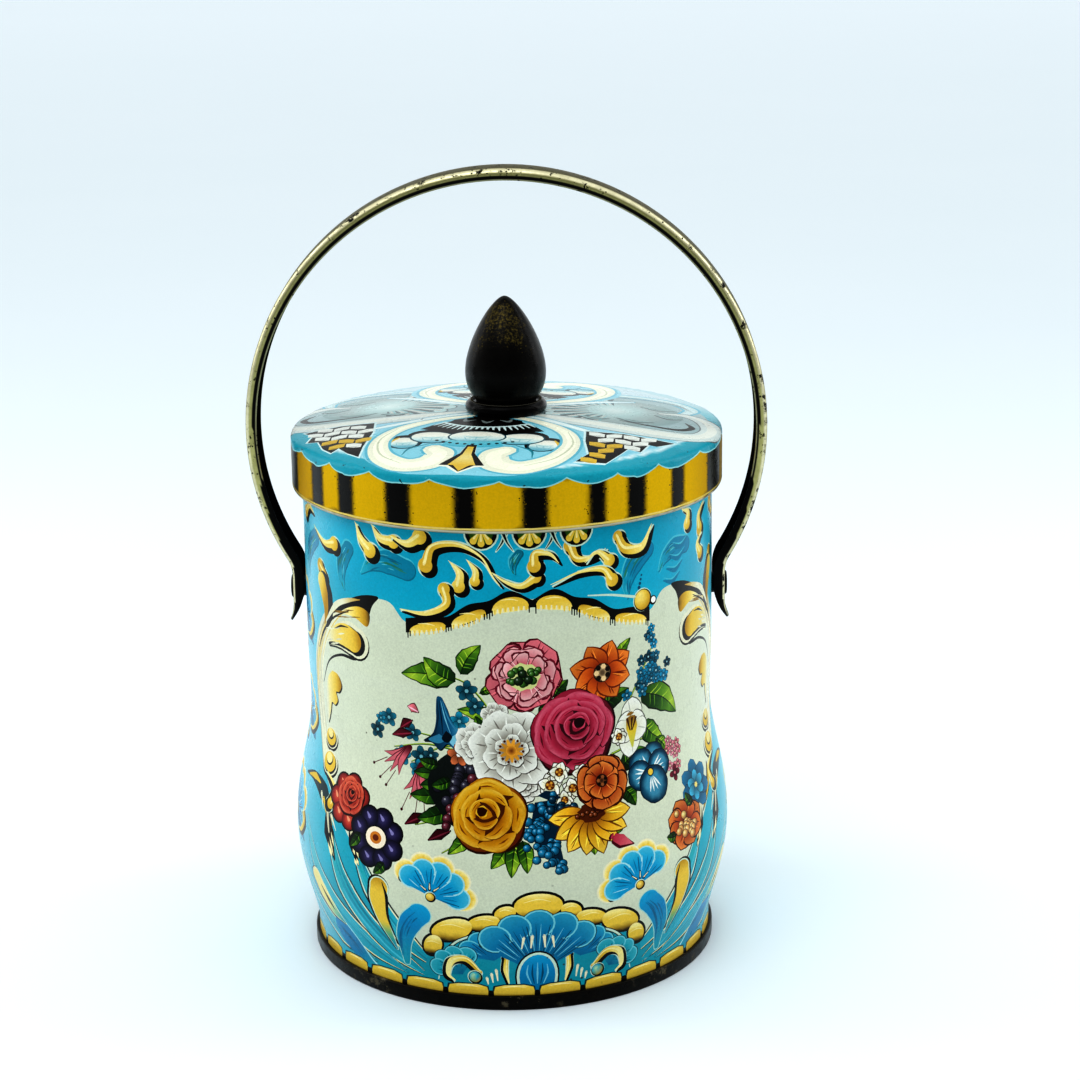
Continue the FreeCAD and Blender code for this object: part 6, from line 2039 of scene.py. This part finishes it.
def bail_piece(material):
    """Strip rolled into a channel, open side inwards. Its flanges run out at the round ears."""
    line, out = bail_line()
    wide, deep, sheet, corner, tip_z, flange_end = 5.0, 2.9, 0.5, 1.5, 85.2, 91.5
    points, rows, inks = [], [], []
    for (x, z), (nx, nz) in zip(line, out):
        low = min(max((z - tip_z) / wide, 0.0), 1.0)
        half = wide * math.sqrt(max(1 - (1 - low) ** 2, 0.0004))
        run = min(max((z - tip_z) / (flange_end + 2.5 - tip_z), 0.0), 1.0)
        depth = sheet + 0.06 + (deep - sheet - 0.06) * run * run * (3 - 2 * run)
        rc = min(corner, depth, half * 0.9)
        ri = max(rc - sheet, 0.02)
        side = []
        for deg in np.linspace(0, 90, 7):
            side.append((half - rc + rc * math.cos(math.radians(deg)),
                         rc - rc * math.sin(math.radians(deg))))
        lip = depth - 0.12
        outer = [(half, lip), (half, rc + (lip - rc) * 0.66), (half, rc + (lip - rc) * 0.33), *side]
        inner_side = [(half - rc + ri * math.cos(math.radians(d)),
                       rc - ri * math.sin(math.radians(d))) for d in np.linspace(90, 0, 5)]
        inner = [*inner_side, (half - sheet, depth - 0.12), (half - sheet * 0.7, depth),
                 (half - sheet * 0.3, depth)]
        section = outer + [(0.0, 0.0)] + [(-y, d) for y, d in outer[::-1]] + [(-y, d) for y,
                d in inner[::-1]] + [(0.0, max(rc - ri, 0.0))] + inner
        rows.append(list(range(len(points), len(points) + len(section))))
        for y, d in section:
            points.append((x - nx * d, y, z - nz * d))
            # the rounded outer corner of each flange gets a painted highlight in pale cream
            corner_highlight = abs(y) > half - 1.25 and d < 0.38 * depth
            inks.append((corner_highlight, d / depth, d, abs(y) < half - 0.45, z))
    faces = []
    for a, b in zip(rows, rows[1:]):
        n = len(a)
        faces += [(a[i], a[(i + 1) % n], b[(i + 1) % n], b[i]) for i in range(n)]
    faces.append(rows[0])
    faces.append(rows[-1][::-1])
    obj = mesh_object("bail_channel", points, faces, [material], 32)
    layer = obj.data.color_attributes.new("ink", "BYTE_COLOR", "POINT")
    colours = []
    for worn, part, d, within, z in inks:
        # painted shade: past this share of the depth the flanges are painted black, covering most of the
        # flange near the ears
        shadow = float(np.interp(z, (97, 124, 150), (0.20, 0.72, 0.60)))
        tone, chips = rgb(196, 192, 132), 0.40
        if part < 0.11:
            tone, chips = rgb(158, 152, 122), 0.52
        # worn marks the rounded outer corner: a painted highlight in pale cream
        if worn:
            tone, chips = rgb(238, 232, 196), 0.50
        if part > shadow or within and d > 0.35:
            tone, chips = BLACK, 0.0
        if part > 0.93 and z > 122 and not within:
            tone, chips = rgb(186, 184, 152), 0.35
        colours.append((*tone, chips))
    layer.data.foreach_set("color_srgb", np.array(colours, np.float32).ravel())
    return obj


# ---- camera, light, floor -----------------------------------------------------------------------
SKY_BASE, SKY_TOP, SKY_SIDE, SKY_BACK = 0.13, 0.78, 0.27, 0.66


def soft_world():
    """Sky that is brightest overhead, at both sides and low behind the tin."""
    world = bpy.data.worlds.new("soft_world")
    bpy.context.scene.world = world
    world.use_nodes = True
    tree = world.node_tree

    def step(value, low, high, top):
        n = tree.nodes.new("ShaderNodeMapRange")
        n.interpolation_type = "SMOOTHSTEP"
        tree.links.new(value, n.inputs[0])
        n.inputs[1].default_value, n.inputs[2].default_value, n.inputs[4].default_value = low, high, top
        return n.outputs[0]

    def join(op, *values):
        total = values[0]
        for value in values[1:]:
            n = tree.nodes.new("ShaderNodeMath")
            n.operation = op
            for socket, v in zip(n.inputs, (total, value)):
                if isinstance(v, bpy.types.NodeSocket):
                    tree.links.new(v, socket)
                else:
                    socket.default_value = v
            total = n.outputs[0]
        return total

    way = tree.nodes.new("ShaderNodeSeparateXYZ")
    tree.links.new(tree.nodes.new("ShaderNodeTexCoord").outputs["Generated"], way.inputs[0])
    x, y, z = way.outputs
    low_back = join("MULTIPLY", step(y, 0.05, 0.9, SKY_BACK), step(z, 0.40, 0.20, 1.0))
    overhead = step(z, 0.35, 0.85, SKY_TOP)
    strength = join("ADD", overhead, step(x, 0.45, 0.95, SKY_SIDE), step(x, -0.45, -0.95, SKY_SIDE),
                    low_back, SKY_BASE)
    background = tree.nodes["Background"]
    background.inputs[0].default_value = (0.95, 0.985, 1.0, 1)
    tree.links.new(strength, background.inputs[1])


def area_light(name, place, target, size, power):
    light = bpy.data.lights.new(name, "AREA")
    light.shape = "RECTANGLE"
    light.size, light.size_y = size
    light.energy = power
    obj = link(bpy.data.objects.new(name, light))
    obj.location = place
    obj.rotation_euler = (Vector(target) - Vector(place)).to_track_quat("-Z", "Y").to_euler()


def aim_camera():
    camera = bpy.data.cameras.new("camera")
    obj = link(bpy.data.objects.new("camera", camera))
    bpy.context.scene.camera = obj
    camera.sensor_width = 36.0
    camera.lens = 89.74
    camera.clip_end = 40.0
    distance, height, pitch, yaw, roll = 0.65821, 0.28856, 0.2714, 0.0122, -0.0129
    back = Vector((0, -distance, height))
    forward = Vector((math.sin(yaw) * math.cos(pitch), math.cos(yaw) * math.cos(pitch), -math.sin(pitch)))
    level = Vector((math.cos(yaw), -math.sin(yaw), 0))
    upward = level.cross(forward)
    right = math.cos(roll) * level + math.sin(roll) * upward
    up = -math.sin(roll) * level + math.cos(roll) * upward
    axes = Matrix((right, up, -forward)).transposed().to_4x4()
    obj.matrix_world = Matrix.Rotation(VIEW_TURN, 4, "Z") @ Matrix.Translation(back) @ axes


def studio():
    floor_pts = [(-9000, -6000, 0), (9000, -6000, 0), (9000, 12000, 0), (-9000, 12000, 0)]
    floor = mesh_object("floor", floor_pts, [(0, 1, 2, 3)], [floor_material()])
    soft_world()
    area_light("key_above", (-0.30, -0.60, 1.20), (0, 0, 0.06), (0.8, 0.8), 2.7)
    area_light("side_left", (-0.62, 0.10, 0.34), (-0.40, 0.04, 0), (0.25, 0.6), 0.9)
    area_light("side_right", (0.62, 0.10, 0.34), (0.40, 0.04, 0), (0.25, 0.6), 0.9)
    aim_camera()
    bpy.context.scene.view_settings.view_transform = "Standard"
    bpy.context.scene.view_settings.look = "High Contrast"


# ---- pieces -------------------------------------------------------------------------------------
print_body = printed_material("printed_tinplate_body", 0.28)
print_lid = printed_material("printed_tinplate_lid", 0.75)
inside_tin = tinplate_material("inside_tinplate", (196, 190, 168))
steel = steel_material("bare_steel", 1.0)
black_steel = steel_material("blackened_steel", 0.16)

body = body_piece(draw_body(), body_ground, [print_body, inside_tin])
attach(body, "tin")
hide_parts("body_shell")

lid = lid_piece(draw_lid(), lid_ground, [print_lid, inside_tin])
for piece, body_name, node_name, slot_name in (
        (lid, "lid", "lid_shell", "printed_tinplate_lid"),
        (base_piece(seam_material()), "tin", "base_end", "black_lacquered_seam"),
        (knob_piece(knob_material()), "lid", "knob", "black_knob"),
        (collar_piece(collar_material()), "lid", "knob_collar", "dark_brass_collar"),
        (bail_piece(strip_material()), "bail", "bail_handle", "gold_lacquered_strip")):
    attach(piece, body_name)
    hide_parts(node_name)

for name in ("bail_rivet_left", "bail_rivet_right", "rivet_washer_left", "rivet_washer_right",
             "knob_washer", "knob_screw"):
    node = frame["nodes"][name]
    dark = name.startswith("bail_rivet")
    node.data.materials.clear()
    node.data.materials.append(black_steel if dark else steel)

studio()
